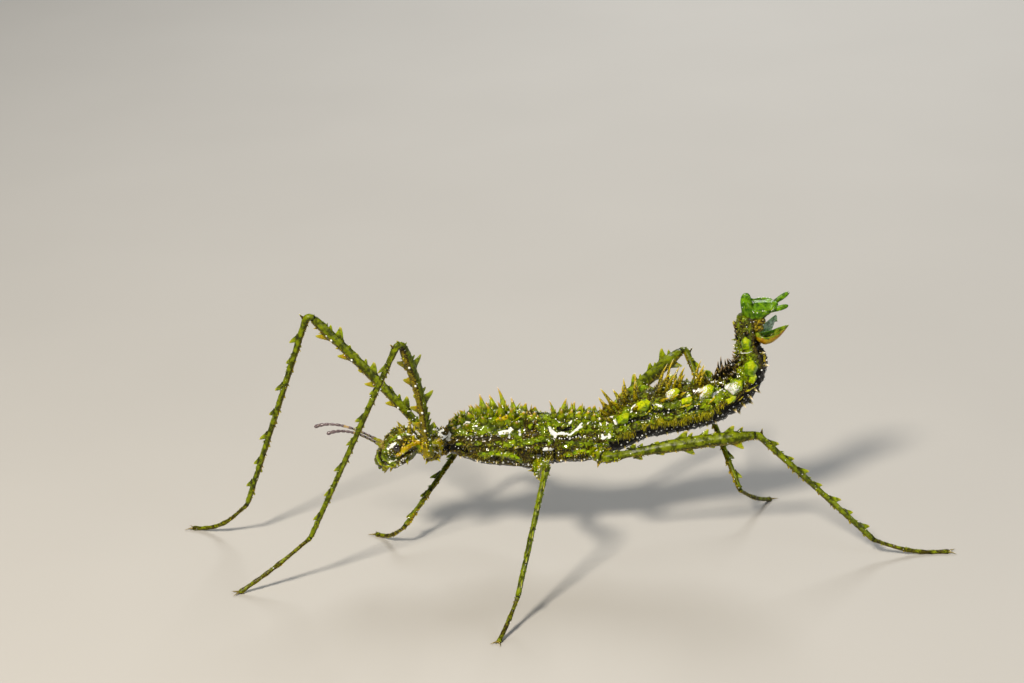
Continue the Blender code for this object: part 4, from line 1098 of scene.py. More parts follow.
# Broad bright lobes of the flanks: trunk place, angle, height, half width, how yellow each one is, and how
# much white each one carries as a painted highlight.
SIDE_LOBES = (
    (3.8, 104, 0.35, 0.3, 0.42, 0.2), (4.1, 101, 0.4, 0.34, 0.35, 0.0), (4.38, 101, 0.35, 0.3, 0.5, 0.3),
    (4.66, 100, 0.4, 0.32, 0.35, 0.0), (4.95, 103, 0.35, 0.3, 0.45, 0.2), (5.2, 107, 0.35, 0.32, 0.3, 0.0),
    (7.5, 109, 0.35, 0.32, 0.5, 0.2), (7.72, 103, 0.4, 0.32, 0.4, 0.0), (7.95, 99, 0.36, 0.3, 0.55, 0.3),
    (8.18, 103, 0.35, 0.3, 0.4, 0.0), (4.5, 42, 0.35, 0.5, 1.0, 0.0), (9.6, 57, 1.4, 1.15, 0.45, 0.3),
    (10.1, 48, 1.5, 1.15, 0.7, 0.2), (10.8, 38, 1.7, 1.0, 0.9, 0.66), (11.15, 58, 1.1, 0.8, 0.65, 0.1),
    (12.0, 48, 1.8, 1.25, 0.9, 0.7), (12.65, 88, 0.8, 0.8, 0.7, 0.3), (13.05, 72, 1.6, 1.3, 0.6, 0.75),
    (13.65, 98, 0.7, 0.8, 0.6, 0.2), (14.0, 82, 1.1, 1.35, 0.35, 0.0), (15.05, 82, 0.9, 1.0, 0.4, 0.0),
)
# Thin spines of the back between the rows: trunk place, angle, height, half
# width, and how far the tip bends back.
THIN_SPINES = (
    (2.75, 14, 0.9, 0.3, -0.5), (2.95, 28, 0.9, 0.32, -0.5), (3.35, 24, 1.3, 0.32, -0.5),
    (4.62, 10, 1.7, 0.3, -0.1), (4.86, 18, 1.8, 0.3, 0.15), (5.08, 30, 1.4, 0.36, 0.6),
    (5.65, 6, 1.4, 0.22, 0.0), (7.12, 14, 2.1, 0.46, -0.6), (7.58, 22, 1.5, 0.3, 0.1),
    (7.72, 8, 1.7, 0.3, 0.1), (8.12, 8, 1.5, 0.26, 0.15), (8.65, 12, 1.1, 0.22, 0.0),
    (9.05, 20, 1.0, 0.2, 0.0), (9.3, 30, 1.2, 0.26, -0.15),
)

# Lines of pale beads: first and last trunk place, angle, gap and half width.
BEAD_LINES = (
    (9.2, 14.1, 121.0, 0.85, 0.12), (9.6, 13.9, 137.0, 1.3, 0.09), (7.1, 9.0, 116.0, 0.8, 0.11),
    (2.9, 6.6, 127.0, 0.75, 0.15), (7.2, 9.0, 128.0, 0.7, 0.15), (-4.5, -2.4, 114.0, 0.42, 0.14),
    (7.2, 8.1, 71.0, 0.42, 0.12), (9.4, 14.4, 156.0, 0.9, 0.14), (-4.3, -3.0, 119.0, 0.5, 0.17),
)
# Pale granules behind the eye: trunk place, angle and half width.
GRANULES = (
    (-2.85, 78, 0.22), (-2.75, 70, 0.24), (-2.4, 62, 0.22), (-1.9, 54, 0.2), (-2.6, 55, 0.16),
    (-2.15, 66, 0.17), (-3.2, 66, 0.14), (-1.6, 60, 0.14), (-3.9, 62, 0.13), (-2.3, 47, 0.15),
)


class Limb(NamedTuple):
    """One leg's course, in millimetres.

    Attributes:
        root: Where it leaves the trunk.
        hip: End of its first length.
        knee: Corner at its knee.
        ankle: End of its shin.
        claw: Tip of its foot.
        bow: How far the thigh bends out.
        sag: How far the foot hangs through.
    """

    root: Triple
    hip: Triple
    knee: Triple
    ankle: Triple
    claw: Triple
    bow: float
    sag: float


LEGS = {
    "fore_left": Limb(
        (-12.8, -2.1, 17.2), (-13.4, -4.1, 17.9), (-15.95, -13.0, 39.8),
        (-31.9, -9.5, 7.8), (-43.2, -11.7, 0.3), 0.75, 0.3),
    "fore_right": Limb(
        (-12.9, 2.1, 17.0), (-13.7, 4.1, 17.1), (-30.3, 4.2, 38.2),
        (-42.8, 7.5, 6.0), (-52.2, 11.6, 0.3), 0.3, 1.4),
    "mid_left": Limb(
        (3.0, -2.8, 14.6), (3.2, -5.1, 13.9), (3.9, -16.4, 20.0),
        (-1.4, -26.4, 4.4), (-4.5, -32.1, 0.3), 0.2, 0.3),
    "mid_right": Limb(
        (2.6, 2.8, 14.6), (2.2, 5.1, 13.9), (-6.2, 13.0, 14.6),
        (-18.1, 0.8, 3.7), (-22.9, 5.3, 0.3), 0.2, 0.8),
    "hind_left": Limb(
        (11.5, -3.3, 15.9), (12.8, -5.6, 16.2), (35.5, -8.0, 19.3),
        (52.2, -12.0, 2.9), (63.5, -12.5, 0.3), 0.3, 0.8),
    "hind_right": Limb(
        (11.5, 3.3, 15.9), (12.6, 5.6, 16.2), (26.9, 17.5, 23.5),
        (33.8, 3.0, 5.4), (39.1, 9.3, 0.3), 0.3, 0.5),
}


@dataclass(frozen=True)
class Coat:
    """A growth that is set many times over head and trunk.

    Attributes:
        profile: Radius and height from foot to tip.
        sides: Faces round.
        look: Name of its finish.
        stretches: What Trunk.sprinkle takes, for each stretch of random ones.
        bright: How far the flank towards the head is painted paler than the other, a painted lit side.
        faceted: Whether its faces meet in sharp edges.
        fall: Which way it hangs, or nothing where it stands off the skin.
    """

    profile: tuple[Pair, ...]
    sides: int
    look: str
    stretches: tuple[tuple, ...] = ()
    bright: float = 0.0
    faceted: bool = False
    fall: Triple | None = None


# Growths of head and trunk by piece: how many in each stretch, its trunk
# places and angles, heights, half widths, lean, share of white and clumping.
COATS = {
    "body_spines": Coat(SPINE_SHAPE, 12, "spine"),
    "body_hooks": Coat(HOOK_SHAPE, 10, "hook"),
    "rear_spines": Coat(HOOK_SHAPE, 10, "rear"),
    "body_teeth": Coat(SPINE_SHAPE, 9, "tooth"),
    "body_lobes": Coat(FACET_SHAPE, 7, "lobe", faceted=True),
    "bright_lobes": Coat(BLOCK_SHAPE, 5, "lobe", bright=0.6, faceted=True),
    "crest_spines": Coat(SPINE_SHAPE, 10, "crest"),
    "body_beads": Coat(BEAD_SHAPE, 8, "bead"),
    "back_thorns": Coat(CONE_SHAPE, 7, "spine", (
        (190, (2.3, 5.2), (0, 66), (0.3, 1.2), (0.16, 0.42)),
        (50, (5.2, 6.8), (0, 66), (0.2, 0.7), (0.14, 0.36), 0.1),
        (110, (6.8, 9.2), (0, 66), (0.3, 1.1), (0.16, 0.36), 0.1),
        (60, (13.8, 15.6), (0, 60), (0.3, 0.8), (0.12, 0.24), 0.1),
        (260, (9.1, 13.6), (34, 100), (0.2, 0.75), (0.12, 0.26), 0.3, 0.0, 0.2),
        (150, (2.4, 9.0), (60, 112), (0.2, 0.6), (0.12, 0.24), 0.2, 0.0, 0.2),
        (70, (-4.2, -0.8), (5, 78), (0.15, 0.5), (0.12, 0.24)),
        (70, (0.2, 2.2), (0, 150), (0.3, 0.8), (0.13, 0.3)))),
    "back_hooks": Coat(HOOK_SHAPE, 7, "hook", (
        (90, (9.1, 13.2), (0, 46), (0.3, 1.3), (0.16, 0.34), 0.25, 0.0, 0.0),)),
    "rear_hooks": Coat(HOOK_SHAPE, 7, "rear", (
        (110, (12.6, 14.6), (0, 50), (0.3, 1.0), (0.14, 0.26), 0.15, 0.0, 0.0),)),
    "skin_grains": Coat(BEAD_SHAPE, 6, "grain", (
        (1700, (2.1, 9.0), (58, 128), (0.08, 0.26), (0.07, 0.2), 0.0, 0.03, 0.3),
        (1500, (2.1, 9.0), (0, 60), (0.07, 0.22), (0.06, 0.18), 0.0, 0.03, 0.2))),
    "abdomen_grains": Coat(BEAD_SHAPE, 6, "grain", (
        (3000, (9.0, 14.0), (25, 108), (0.08, 0.3), (0.07, 0.2), 0.0, 0.03, 0.25),
        (700, (14.0, 16.0), (0, 180), (0.05, 0.15), (0.05, 0.11), 0.0, 0.1))),
    "head_grains": Coat(BEAD_SHAPE, 6, "grain", (
        (800, (-5.8, 0.0), (0, 125), (0.05, 0.17), (0.05, 0.14), 0.0, 0.04, 0.3),
        (800, (0.0, 2.1), (0, 175), (0.08, 0.28), (0.07, 0.2), 0.0, 0.06, 0.2))),
    "loose_beads": Coat(BEAD_SHAPE, 6, "bead", (
        (60, (9.1, 14.2), (112, 158), (0.06, 0.14), (0.05, 0.1), 0.0, 1.0),
        (70, (12.6, 14.4), (0, 60), (0.08, 0.18), (0.07, 0.14), 0.0, 1.0),
        (70, (2.2, 9.0), (112, 165), (0.06, 0.16), (0.05, 0.12), 0.0, 1.0),
        (240, (2.4, 9.0), (25, 112), (0.08, 0.3), (0.05, 0.14), 0.0, 1.0),
        (200, (9.1, 13.6), (28, 84), (0.08, 0.3), (0.05, 0.15), 0.0, 1.0),
        (60, (-4.4, -0.5), (5, 98), (0.06, 0.18), (0.06, 0.11), 0.0, 1.0),
        (50, (0.1, 2.0), (10, 130), (0.08, 0.24), (0.06, 0.13), 0.0, 1.0))),
    "moss_fringe": Coat(BLADE_SHAPE, 4, "moss", (
        (4200, (9.25, 12.25), (76, 104), (0.35, 1.05), (0.035, 0.08), 0.0, 0.0, 0.9),
        (500, (12.3, 13.2), (78, 94), (0.25, 0.6), (0.03, 0.07), 0.0, 0.0, 0.5),
        (1300, (2.8, 8.9), (84, 124), (0.25, 0.7), (0.03, 0.06), 0.0, 0.0, 0.5),
        (700, (9.0, 12.4), (20, 60), (0.3, 0.7), (0.03, 0.06), 0.0, 0.0, 0.4)),
        fall=(0.1, 0.0, -0.6)),
}


@dataclass
class Trunk:
    """Head and trunk: one skin and the coats of growth on it.

    Attributes:
        plan: Turns millimetres into metres.
        skin: The skin's relief and marks.
        chance: Draws for the large growths, in the solids' order.
        fine: Draws for the small ones.
        grown: The growths by piece.
        rings: Steps along the skin.
        sides: Steps round it.
        end_cap: Length over which each end is rounded shut.
        fall_share: How far a hanging growth still stands off the skin.
    """

    plan: Plan
    skin: Skin
    chance: random.Random
    fine: random.Random = field(default_factory=lambda: random.Random(FINE_SEED))
    grown: dict[str, list[Tuft]] = field(default_factory=lambda: defaultdict(list))
    rings: int = 430
    sides: int = 160
    end_cap: float = 0.55
    fall_share: float = 0.4

    def __post_init__(self) -> None:
        """Keep the line at hand."""
        self.line = self.skin.line

    def draw(self, around: np.ndarray, share: np.ndarray) -> tuple[np.ndarray, Marks]:
        """Draw the skin with both ends rounded shut.

        Args:
            around: Shares round the trunk.
            share: Shares along it.

        Returns:
            Points and marks.
        """
        whole = self.line.length + 2.0 * self.end_cap
        arc = share * whole - self.end_cap
        inside = np.clip(arc, 0.0, self.line.length)
        over = arc - inside
        place = self.line.place(inside)
        angle = around * 360.0
        point, _, along, tone, patch = self.skin.read(place, angle)
        plain = self.line.surface(place, angle)[0]
        centre = self.line.value(place)
        middle = np.stack((centre[:, 0], np.zeros(len(place)), centre[:, 1]), axis=1)
        shrink = rounded(np.abs(over) / self.end_cap)
        lift = np.linalg.norm(point - middle, axis=1) - np.linalg.norm(plain - middle, axis=1)
        point = middle + (point - middle) * shrink[:, None] + along * over[:, None]
        # Rise follows the relief, so grooves get painted shade and swells stay lighter.
        return point, Marks(tone, patch, np.clip(0.26 + 0.5 * lift, 0.0, 0.45))

    def spot(self, place: float, angle: float) -> tuple[np.ndarray, ...]:
        """Read the skin at one spot.

        Args:
            place: Trunk place.
            angle: Degrees from the back's middle, all round.

        Returns:
            Point, outward direction, direction along, tone, patch and chart.
        """
        here, turned = np.array([place + NAPE]), np.array([angle % 360.0])
        point, out, along, tone, patch = self.skin.read(here, turned)
        return point[0], out[0], along[0], tone[0], patch[0], self.skin.chart(here, turned)[0]

    def crest(self) -> None:
        """Spines of the head, where the solids have them."""
        for side in Side:
            for (x, y, z), (forward, outward, upward), height, radius in CREST:
                tall = height * (1.0 + self.chance.uniform(-0.08, 0.08))
                place = float(np.interp(x, self.line.rows[:NAPE, 0], range(NAPE)))
                mid = self.line.value(np.array([place]))[0]
                angle = math.degrees(math.atan2(y / mid[3], (z - mid[1]) / mid[2]))
                _, _, _, tone, _, chart = self.spot(place - NAPE, side.turned(angle))
                tall = tall * (0.8 if tall > 1.6 else 1.0)
                self.grown["crest_spines"].append(Tuft(
                    (x, y * side.value, z), (forward, outward * side.value, upward),
                    (1.0, 0.0, 0.0), tall, radius * 1.1, radius * 1.1, 0.25 * forward,
                    np.maximum(tone, (0.4, 0.5, 0.0)), 0.0, chart))

    def step(self, place: float, distance: float) -> float:
        """The trunk place a distance further along."""
        arc = self.line.arc(np.array([place + NAPE])) + distance
        return float(self.line.place(arc)[0]) - NAPE

    @staticmethod
    def near_boss(point: np.ndarray, side: Side, radius: float) -> bool:
        """Tell whether a growth would crowd the root of a leg.

        Args:
            point: Where it is rooted.
            side: Its flank.
            radius: Its half width.

        Returns:
            True where it would.
        """
        roots = [leg.root for name, leg in LEGS.items() if name.endswith(side.name.lower())]
        return any(np.linalg.norm(point - np.array(root)) < BOSS_CLEAR + radius for root in roots)

    def rows(self) -> None:
        """The large growths, in the rows that the solids have."""
        for name, (first, last) in SPANS.items():
            low = self.step(first, 0.5 * GAP + END_MARGIN)
            high = self.step(last, -0.5 * GAP - END_MARGIN)
            for row in ROWS[name]:
                for side in Side:
                    self.row(low, high, side, row)

    def row(self, low: float, high: float, side: Side, row: Row) -> None:
        """One row of large growths on one flank.

        Args:
            low: First trunk place.
            high: Last trunk place.
            side: The flank.
            row: Angle, heights, half width, lean, thickness and hook.
        """
        angle, heights, radius, lean, flat, hook = row
        count = len(heights)
        inner_low = self.step(low, radius)
        inner_high = self.step(high, -radius)
        for k, height in enumerate(heights):
            share = (k + 0.5 + 0.12 * side.value) / count if count > 1 else 0.5
            place = inner_low + (inner_high - inner_low) * share
            whole = side.turned(angle + self.chance.uniform(-5.0, 5.0))
            plain = self.line.surface(np.array([place + NAPE]), np.array([whole]))[0][0]
            if self.near_boss(plain, side, radius):
                continue
            point, out, along, tone, _, chart = self.spot(place, whole)
            wander = np.array([self.chance.uniform(-0.12, 0.12) for _ in range(3)])
            toward_end = max(0.0, 2.0 * abs(share - 0.5) - 0.4)
            way = out + along * lean * (1.0 - toward_end) + wander
            tall = height * (1.0 + self.chance.uniform(-0.12, 0.12))
            wide = radius * (1.0 + self.chance.uniform(-0.08, 0.08))
            bend = hook * (1.0 - toward_end)
            if flat < 0.9 or 40.0 < angle < 50.0 and 5.4 < place < 9.0:
                kind, size = "body_lobes", (tall * 0.55, wide * 1.1, wide * flat * 1.2, bend)
                tone = (0.45, 0.12, 0.25)
            elif angle > 115.0:
                broad = 1.25 if place > 12.3 else 0.9
                kind, size = "body_teeth", (tall, wide * broad, wide * broad, bend)
                tone = (0.3, 0.4, 0.1)
            elif place > 9.0:
                rear = place > 12.5
                tall = tall * (0.72 if rear else 0.92)
                bend = (-0.08 if place < 9.8 else 0.32 if place < 10.5 else 0.58) * tall
                kind = "rear_spines" if rear else "body_hooks"
                size = (tall, wide * 1.3, wide * 1.1, bend)
                tone = (0.1, 0.0, 0.6) if rear else (0.4, 0.5, 0.0)
            else:
                bend = (-0.35 if 2.0 < place < 5.2 else 0.2 if place > 7.4 else 0.0) * tall
                kind, size = "body_spines", (tall, wide * 1.75, wide * 1.5, bend)
                tone = np.maximum(tone, (0.6, 0.35, 0.0))
            self.grown[kind].append(Tuft(point, way, along, *size, tone, 0.0, chart))

    def thin_spines(self) -> None:
        """Thin pale spines of the back between the rows."""
        for side in Side:
            for place, angle, height, wide, bend in THIN_SPINES:
                point, out, along, tone, _, chart = self.spot(place, side.turned(angle))
                kind = "body_hooks" if place > 9.0 else "body_spines"
                self.grown[kind].append(
                    Tuft(point, out, along, height, wide, wide, bend, tone, 0.0, chart))

    def broad_lobes(self) -> None:
        """Bright lobes of the flanks, pointing back, with painted white highlights and a painted lit side
        towards the head.
        """
        for side in Side:
            for place, angle, height, wide, yellow, white in SIDE_LOBES:
                point, out, along, _, _, chart = self.spot(place, side.turned(angle))
                way = out + along * 0.35 + np.array((0.0, 0.0, 0.2))
                self.grown["bright_lobes"].append(Tuft(
                    point, way, along, height, wide * 1.05, wide * 0.85, 0.4,
                    (1.0, yellow, 0.0), white, chart))

    def beads(self) -> None:
        """Pale beads in lines along the belly, and granules behind the eyes."""
        grown = self.grown["body_beads"]
        for first, last, angle, gap, size in BEAD_LINES:
            arcs = self.line.arc(np.array((first, last)) + NAPE)
            for k in range(int((arcs[1] - arcs[0]) / gap)):
                place = float(self.line.place(arcs[0] + gap * (k + 0.5))) - NAPE
                for side in Side:
                    whole = side.turned(angle + self.fine.uniform(-2.5, 2.5))
                    point, out, along, tone, _, chart = self.spot(
                        place + self.fine.uniform(-0.03, 0.03), whole)
                    radius = size * self.fine.uniform(0.75, 1.2)
                    grown.append(Tuft(
                        point, out, along, radius * 1.3, radius, radius, 0.0, tone, 1.0, chart))
        for place, angle, size in GRANULES:
            for side in Side:
                point, out, along, _, _, chart = self.spot(place, side.turned(angle))
                grown.append(Tuft(
                    point, out, along, size * 1.2, size, size, 0.0, (0.4, 0.9, 0.0), 0.44, chart))

    def sprinkle(
            self, count: int, spans: tuple[float, float], angles: tuple[float, float],
            heights: tuple[float, float], widths: tuple[float, float], lean: float = 0.0,
            white: float = 0.0, swell: float = 0.0) -> list[Tuft]:
        """Random small growths over a stretch of the skin.

        Args:
            count: How many.
            spans: First and last trunk place.
            angles: Least and greatest angle from the back's middle.
            heights: Least and greatest height.
            widths: Least and greatest half width.
            lean: Backwards lean.
            white: Share of them that is white.
            swell: How strongly slow noise gathers them in clumps.

        Returns:
            The growths.
        """
        draw = np.random.default_rng(self.fine.randrange(1 << 30))
        arcs = self.line.arc(np.array(spans) + NAPE)
        place = self.line.place(draw.uniform(arcs[0], arcs[1], count))
        folded = draw.uniform(angles[0], angles[1], count)
        left = draw.random(count) < 0.5
        angle = np.where(left, 360.0 - folded, folded) % 360.0
        point, out, along, tone, patch = self.skin.read(place, angle)
        keep = np.ones(count, bool)
        if swell:
            keep = ripple(point, 1.3, 5.0) > draw.uniform(-1.0, 1.0, count) * (1.1 - swell)
        keep &= ~((patch > 0.5) & (draw.random(count) < 0.95))
        out = out + along * lean + draw.normal(0.0, 0.12, (count, 3))
        size = draw.random(count) ** 1.6
        height = heights[0] + (heights[1] - heights[0]) * size
        width = widths[0] + (widths[1] - widths[0]) * size * draw.uniform(0.7, 1.0, count)
        pale = np.where(draw.random(count) < white, 1.0, 0.2 * patch)
        tone = tone + draw.normal(0.0, 0.12, (count, 3)) * np.array((1.0, 1.0, 0.4))
        chart = self.skin.chart(place, angle)
        columns = (
            point, out, along, height, width, width, 0.3 * lean * height, tone, pale, chart)
        return [Tuft(*row) for row in zip(*(column[keep] for column in columns))]

    def build(self, looks: Looks) -> Pieces:
        """Make the skin and its coats.

        Args:
            looks: Materials by name.

        Returns:
            The pieces by name.
        """
        self.crest()
        self.rows()
        self.thin_spines()
        self.broad_lobes()
        self.beads()
        made = {"body_skin": tube(
            "body_skin", self.rings, self.sides, self.draw, self.plan, looks["skin"])}
        for name, coat in COATS.items():
            tufts = self.grown[name]
            for stretch in coat.stretches:
                tufts += self.sprinkle(*stretch)
            if coat.fall:
                tufts = [
                    tuft._replace(out=self.fall_share * tuft.out + np.array(coat.fall))
                    for tuft in tufts]
            made[name] = scatter(
                name, Shape(coat.profile, coat.sides), tufts, self.plan, looks[coat.look],
                coat.bright, coat.faceted)
        return made


# Lobes along the legs: height, half length at the root and lean.
FEMUR_LOBE = (1.5, 0.85, 0.55)
SMALL_LOBE = (1.0, 0.5, 0.55)
TIBIA_LOBE = (1.25, 0.75, 0.7)
TIBIA_TOOTH = (0.6, 0.4, 0.5)
# The thigh's lobes on the fore legs: shares of its length, and heights.
FORE_OUTER = (0.19, 0.33, 0.5, 0.64, 0.81)
FORE_OUTER_TALL = (1.0, 0.35, 1.15, 0.4, 1.1)
FORE_INNER = (0.25, 0.42, 0.55, 0.68, 0.86)
FORE_INNER_TALL = (0.85, 0.95, 0.35, 1.1, 1.0)
# Heights of successive lobes as shares of the usual one.
FEMUR_TALL = (0.85, 0.65, 1.1, 0.7, 1.05)
TIBIA_TALL = (1.0, 0.62, 0.95, 0.6, 0.85, 0.65, 0.75)
# Swelling of the foot's joints, from 0 to 1, along its length.
FOOT_JOINTS = (
    (0.06, 0.0), (0.3, 0.0), (0.4, 0.2), (0.45, 1.0), (0.48, 0.7), (0.51, 0.0), (0.6, 0.3),
    (0.63, 0.9), (0.66, 0.2), (0.68, 0.0), (0.76, 0.3), (0.79, 0.9), (0.82, 0.1), (0.86, 0.0),
    (0.95, 0.5),
)


class Girth(NamedTuple):
    """What differs from one pair of legs to the next, in millimetres.

    Attributes:
        coxa: Radius of the first length.
        base: Half width of the thigh at its root.
        wide: Half width of the thigh at its widest.
        lobes: How many lobes the thigh has on each edge.
        teeth: How many lobes the shin has on each edge.
    """

    coxa: float
    base: float
    wide: float
    lobes: int
    teeth: int


GIRTHS = {
    "fore": Girth(1.3, 0.62, 0.72, 5, 7),
    "mid": Girth(1.15, 0.62, 0.78, 4, 5),
    "hind": Girth(1.15, 0.55, 0.95, 5, 7),
}


def elbow(start: Vector, direction: Vector, target: Vector, bend: float) -> list[Vector]:
    """Points of a bend from a start direction round towards a target.

    Args:
        start: Where the bend begins.
        direction: The way it sets out.
        target: Where it heads at its end.
        bend: Radius of the bend.

    Returns:
        Points along the bend.
    """
    heading = direction.normalized()
    across = target - start
    across = (across - heading * across.dot(heading)).normalized()
    turn = 0.0
    for _ in range(40):
        spot = start + heading * bend * math.sin(turn) + across * bend * (1.0 - math.cos(turn))
        aim = target - spot
        turn = math.atan2(aim.dot(across), aim.dot(heading))
    steps = max(2, round(math.degrees(turn) / 12.0))
    return [
        start + heading * bend * math.sin(turn * k / steps)
        + across * bend * (1.0 - math.cos(turn * k / steps)) for k in range(steps + 1)]


@dataclass
class Leg:
    """One leg from the trunk to its claws.

    Attributes:
        name: Pair and side, such as fore_left.
        plan: Turns millimetres into metres.
        chance: Draws for the large growths, in the solids' order.
        sides: Faces round.
        ring_step: From one ring to the next.
        hip_bend: Radius of the bend at the thigh's root.
        knee_bend: Radius of the bend at the knee.
        most_setback: How far before its corner a sharp knee may begin.
        hip_radius: At the thigh's root.
        knee_radius: At the thigh's end.
        head_radius: At the shin's upper end.
        shin_radius: At the shin's middle.
        ankle_radius: At the shin's end.
        foot_radius: Between the foot's joints.
        foot_swell: How much thicker the foot's joints are.
        pad_radius: Of the pad under the claws.
        pad_height: Of the pad's middle over the floor.
        thorns: Its cones.
        lobes: Its flat lobes.
        drops: Its beads.
        stations: Rings of its course: middle, half sizes and part.
        joints: The station that each length begins at.
    """

    name: str
    plan: Plan
    chance: random.Random
    sides: int = 22
    ring_step: float = 0.2
    hip_bend: float = 0.95
    knee_bend: float = 0.58
    most_setback: float = 1.3
    hip_radius: float = 0.85
    knee_radius: float = 0.7
    head_radius: float = 0.55
    shin_radius: float = 0.42
    ankle_radius: float = 0.4
    foot_radius: float = 0.28
    foot_swell: float = 0.16
    pad_radius: float = 0.5
    pad_height: float = 0.25
    thorns: list[Tuft] = field(default_factory=list)
    lobes: list[Tuft] = field(default_factory=list)
    drops: list[Tuft] = field(default_factory=list)
    stations: list[tuple[Vector, float, float, float]] = field(default_factory=list)
    joints: list[int] = field(default_factory=list)

    def __post_init__(self) -> None:
        """Lay out the leg's course and draw its large growths."""
        self.kind = self.name.split("_")[0]
        self.girth = GIRTHS[self.kind]
        self.limb = LEGS[self.name]
        self.root, self.hip, corner, self.ankle, claw = (Vector(p) for p in self.limb[:5])
        self.way = (self.hip - self.root).normalized()
        turn = (corner - self.hip).angle(self.ankle - corner)
        setback = min(self.knee_bend * math.tan(0.5 * turn), self.most_setback)
        self.knee = corner - (corner - self.hip).normalized() * setback
        self.foot = Vector((claw.x, claw.y, self.pad_height))
        self.lay_coxa()
        knee_way = self.lay_femur()
        shin = self.lay_tibia(knee_way)
        self.lay_tarsus(self.ankle + shin * GAP)
        self.measure()

    def station(self, point: Vector, width: float, part: float, height: float = 0.0) -> None:
        """Add one ring to the leg's course.

        Args:
            point: Its middle.
            width: Half its width.
            part: 0 to 1 on the first length, 1 to 2 on the thigh and so on.
            height: Half its height, where that differs from the width.
        """
        self.stations.append((point.copy(), width, height or width, part))

    def lay_coxa(self) -> None:
        """The first length's rings, and the small spines round it."""
        root, hip, way, bulge = self.root, self.hip, self.way, self.girth.coxa
        middle = (root + way * (0.75 + GAP) + hip) * 0.5
        self.station(root - way * 1.0, 1.0, 0.0)
        self.station(root + way * 0.3, 1.2, 0.0)
        self.station(root + way * 0.9, bulge * 0.95, 0.2)
        self.station(middle, bulge * 1.08, 0.5)
        self.station(hip, self.hip_radius * 1.1, 0.9)
        self.joints.append(len(self.stations))
        for k in range(5):
            turn = math.radians(72.0 * k + 20.0)
            out = Matrix.Rotation(turn, 3, way) @ way.orthogonal().normalized()
            if out.z > 0.75:
                continue
            height = 0.8 * (1.0 + self.chance.uniform(-0.12, 0.12))
            self.thorns.append(Tuft(
                middle + out * bulge, out + way * 0.15, way, height, 0.36, 0.36, 0.0,
                (0.5, 0.6, 0.0), 0.0, (0.05 + 0.12 * k, 0.04)))

    def lay_femur(self) -> Vector:
        """The thigh's rings and lobes.

        Returns:
            The thigh's way at the knee.
        """
        base, wide, stations = self.girth.base, self.girth.wide, self.girth.lobes
        path = elbow(self.hip + self.way * GAP, self.way, self.knee, self.hip_bend)
        for k, point in enumerate(path):
            self.station(point, self.hip_radius * 1.12 - 0.2 * k / len(path), 1.0)
        heel = path[-1]
        run = self.knee - heel
        thigh = run.normalized()
        inward = (self.ankle - self.knee).normalized()
        self.outward = -(inward - thigh * inward.dot(thigh)).normalized()

        def on_axis(share: float) -> Vector:
            """A point of the bowed middle line of the thigh."""
            return heel + run * share + self.outward * self.limb.bow * math.sin(math.pi * share)

        for share, thick in (
                (0.12, base), (0.3, 0.5 * (base + wide)), (0.4, wide * 0.95), (0.5, wide),
                (0.6, wide), (0.7, wide), (0.8, wide), (0.88, wide), (0.94, self.knee_radius)):
            self.station(on_axis(share), thick * 0.85, 1.0 + share, thick)
        self.station(self.knee, self.knee_radius * 0.9, 1.99)
        self.joints.append(len(self.stations))
        fore, hind = self.kind == "fore", self.kind == "hind"
        for k in range(stations):
            share = 0.16 + 0.68 * k / (stations - 1)
            tall = FEMUR_TALL[k] * (0.6 if hind and share < 0.4 else 1.0)
            outer, inner, under = share, share + 0.03, 0.85 * tall
            if fore:
                outer, inner = FORE_OUTER[k], FORE_INNER[k]
                tall, under = FORE_OUTER_TALL[k], FORE_INNER_TALL[k]
            between = on_axis(outer + 0.5 * 0.68 / stations)
            for spot, out, size, gold, scale in (
                    (on_axis(outer), self.outward, FEMUR_LOBE, 0.25, tall),
                    (between, self.outward, SMALL_LOBE, 0.1, 0.2 + 0.6 * tall),
                    (on_axis(inner), -self.outward, FEMUR_LOBE, 0.45 if hind else 0.62, under)):
                self.lobe(spot, thigh, out, wide, size, share, gold, scale)
            if fore and under > 0.5:
                self.glint_pair(on_axis(inner - 0.03), thigh, wide, share)
        return (self.knee - on_axis(0.94)).normalized()

    def glint_pair(self, spot: Vector, way: Vector, wide: float, share: float) -> None:
        """A bead on each face of the thigh, beside a lower lobe, painted white as the glint of a water
        drop.

        Args:
            spot: Point on the thigh's middle line.
            way: Towards the knee.
            wide: The thigh's half width.
            share: How far down the thigh, 0 to 1.
        """
        across = way.cross(self.outward)
        for side in Side:
            out = (across * side.value * 0.85 - self.outward * 0.5).normalized()
            self.drops.append(Tuft(
                spot + out * wide * 0.86, out, way, 0.2, 0.22, 0.2, 0.0, (0.6, 0.3, 0.0), 1.0,
                (0.5 + 0.1 * side.value, 0.1 + 0.38 * share)))

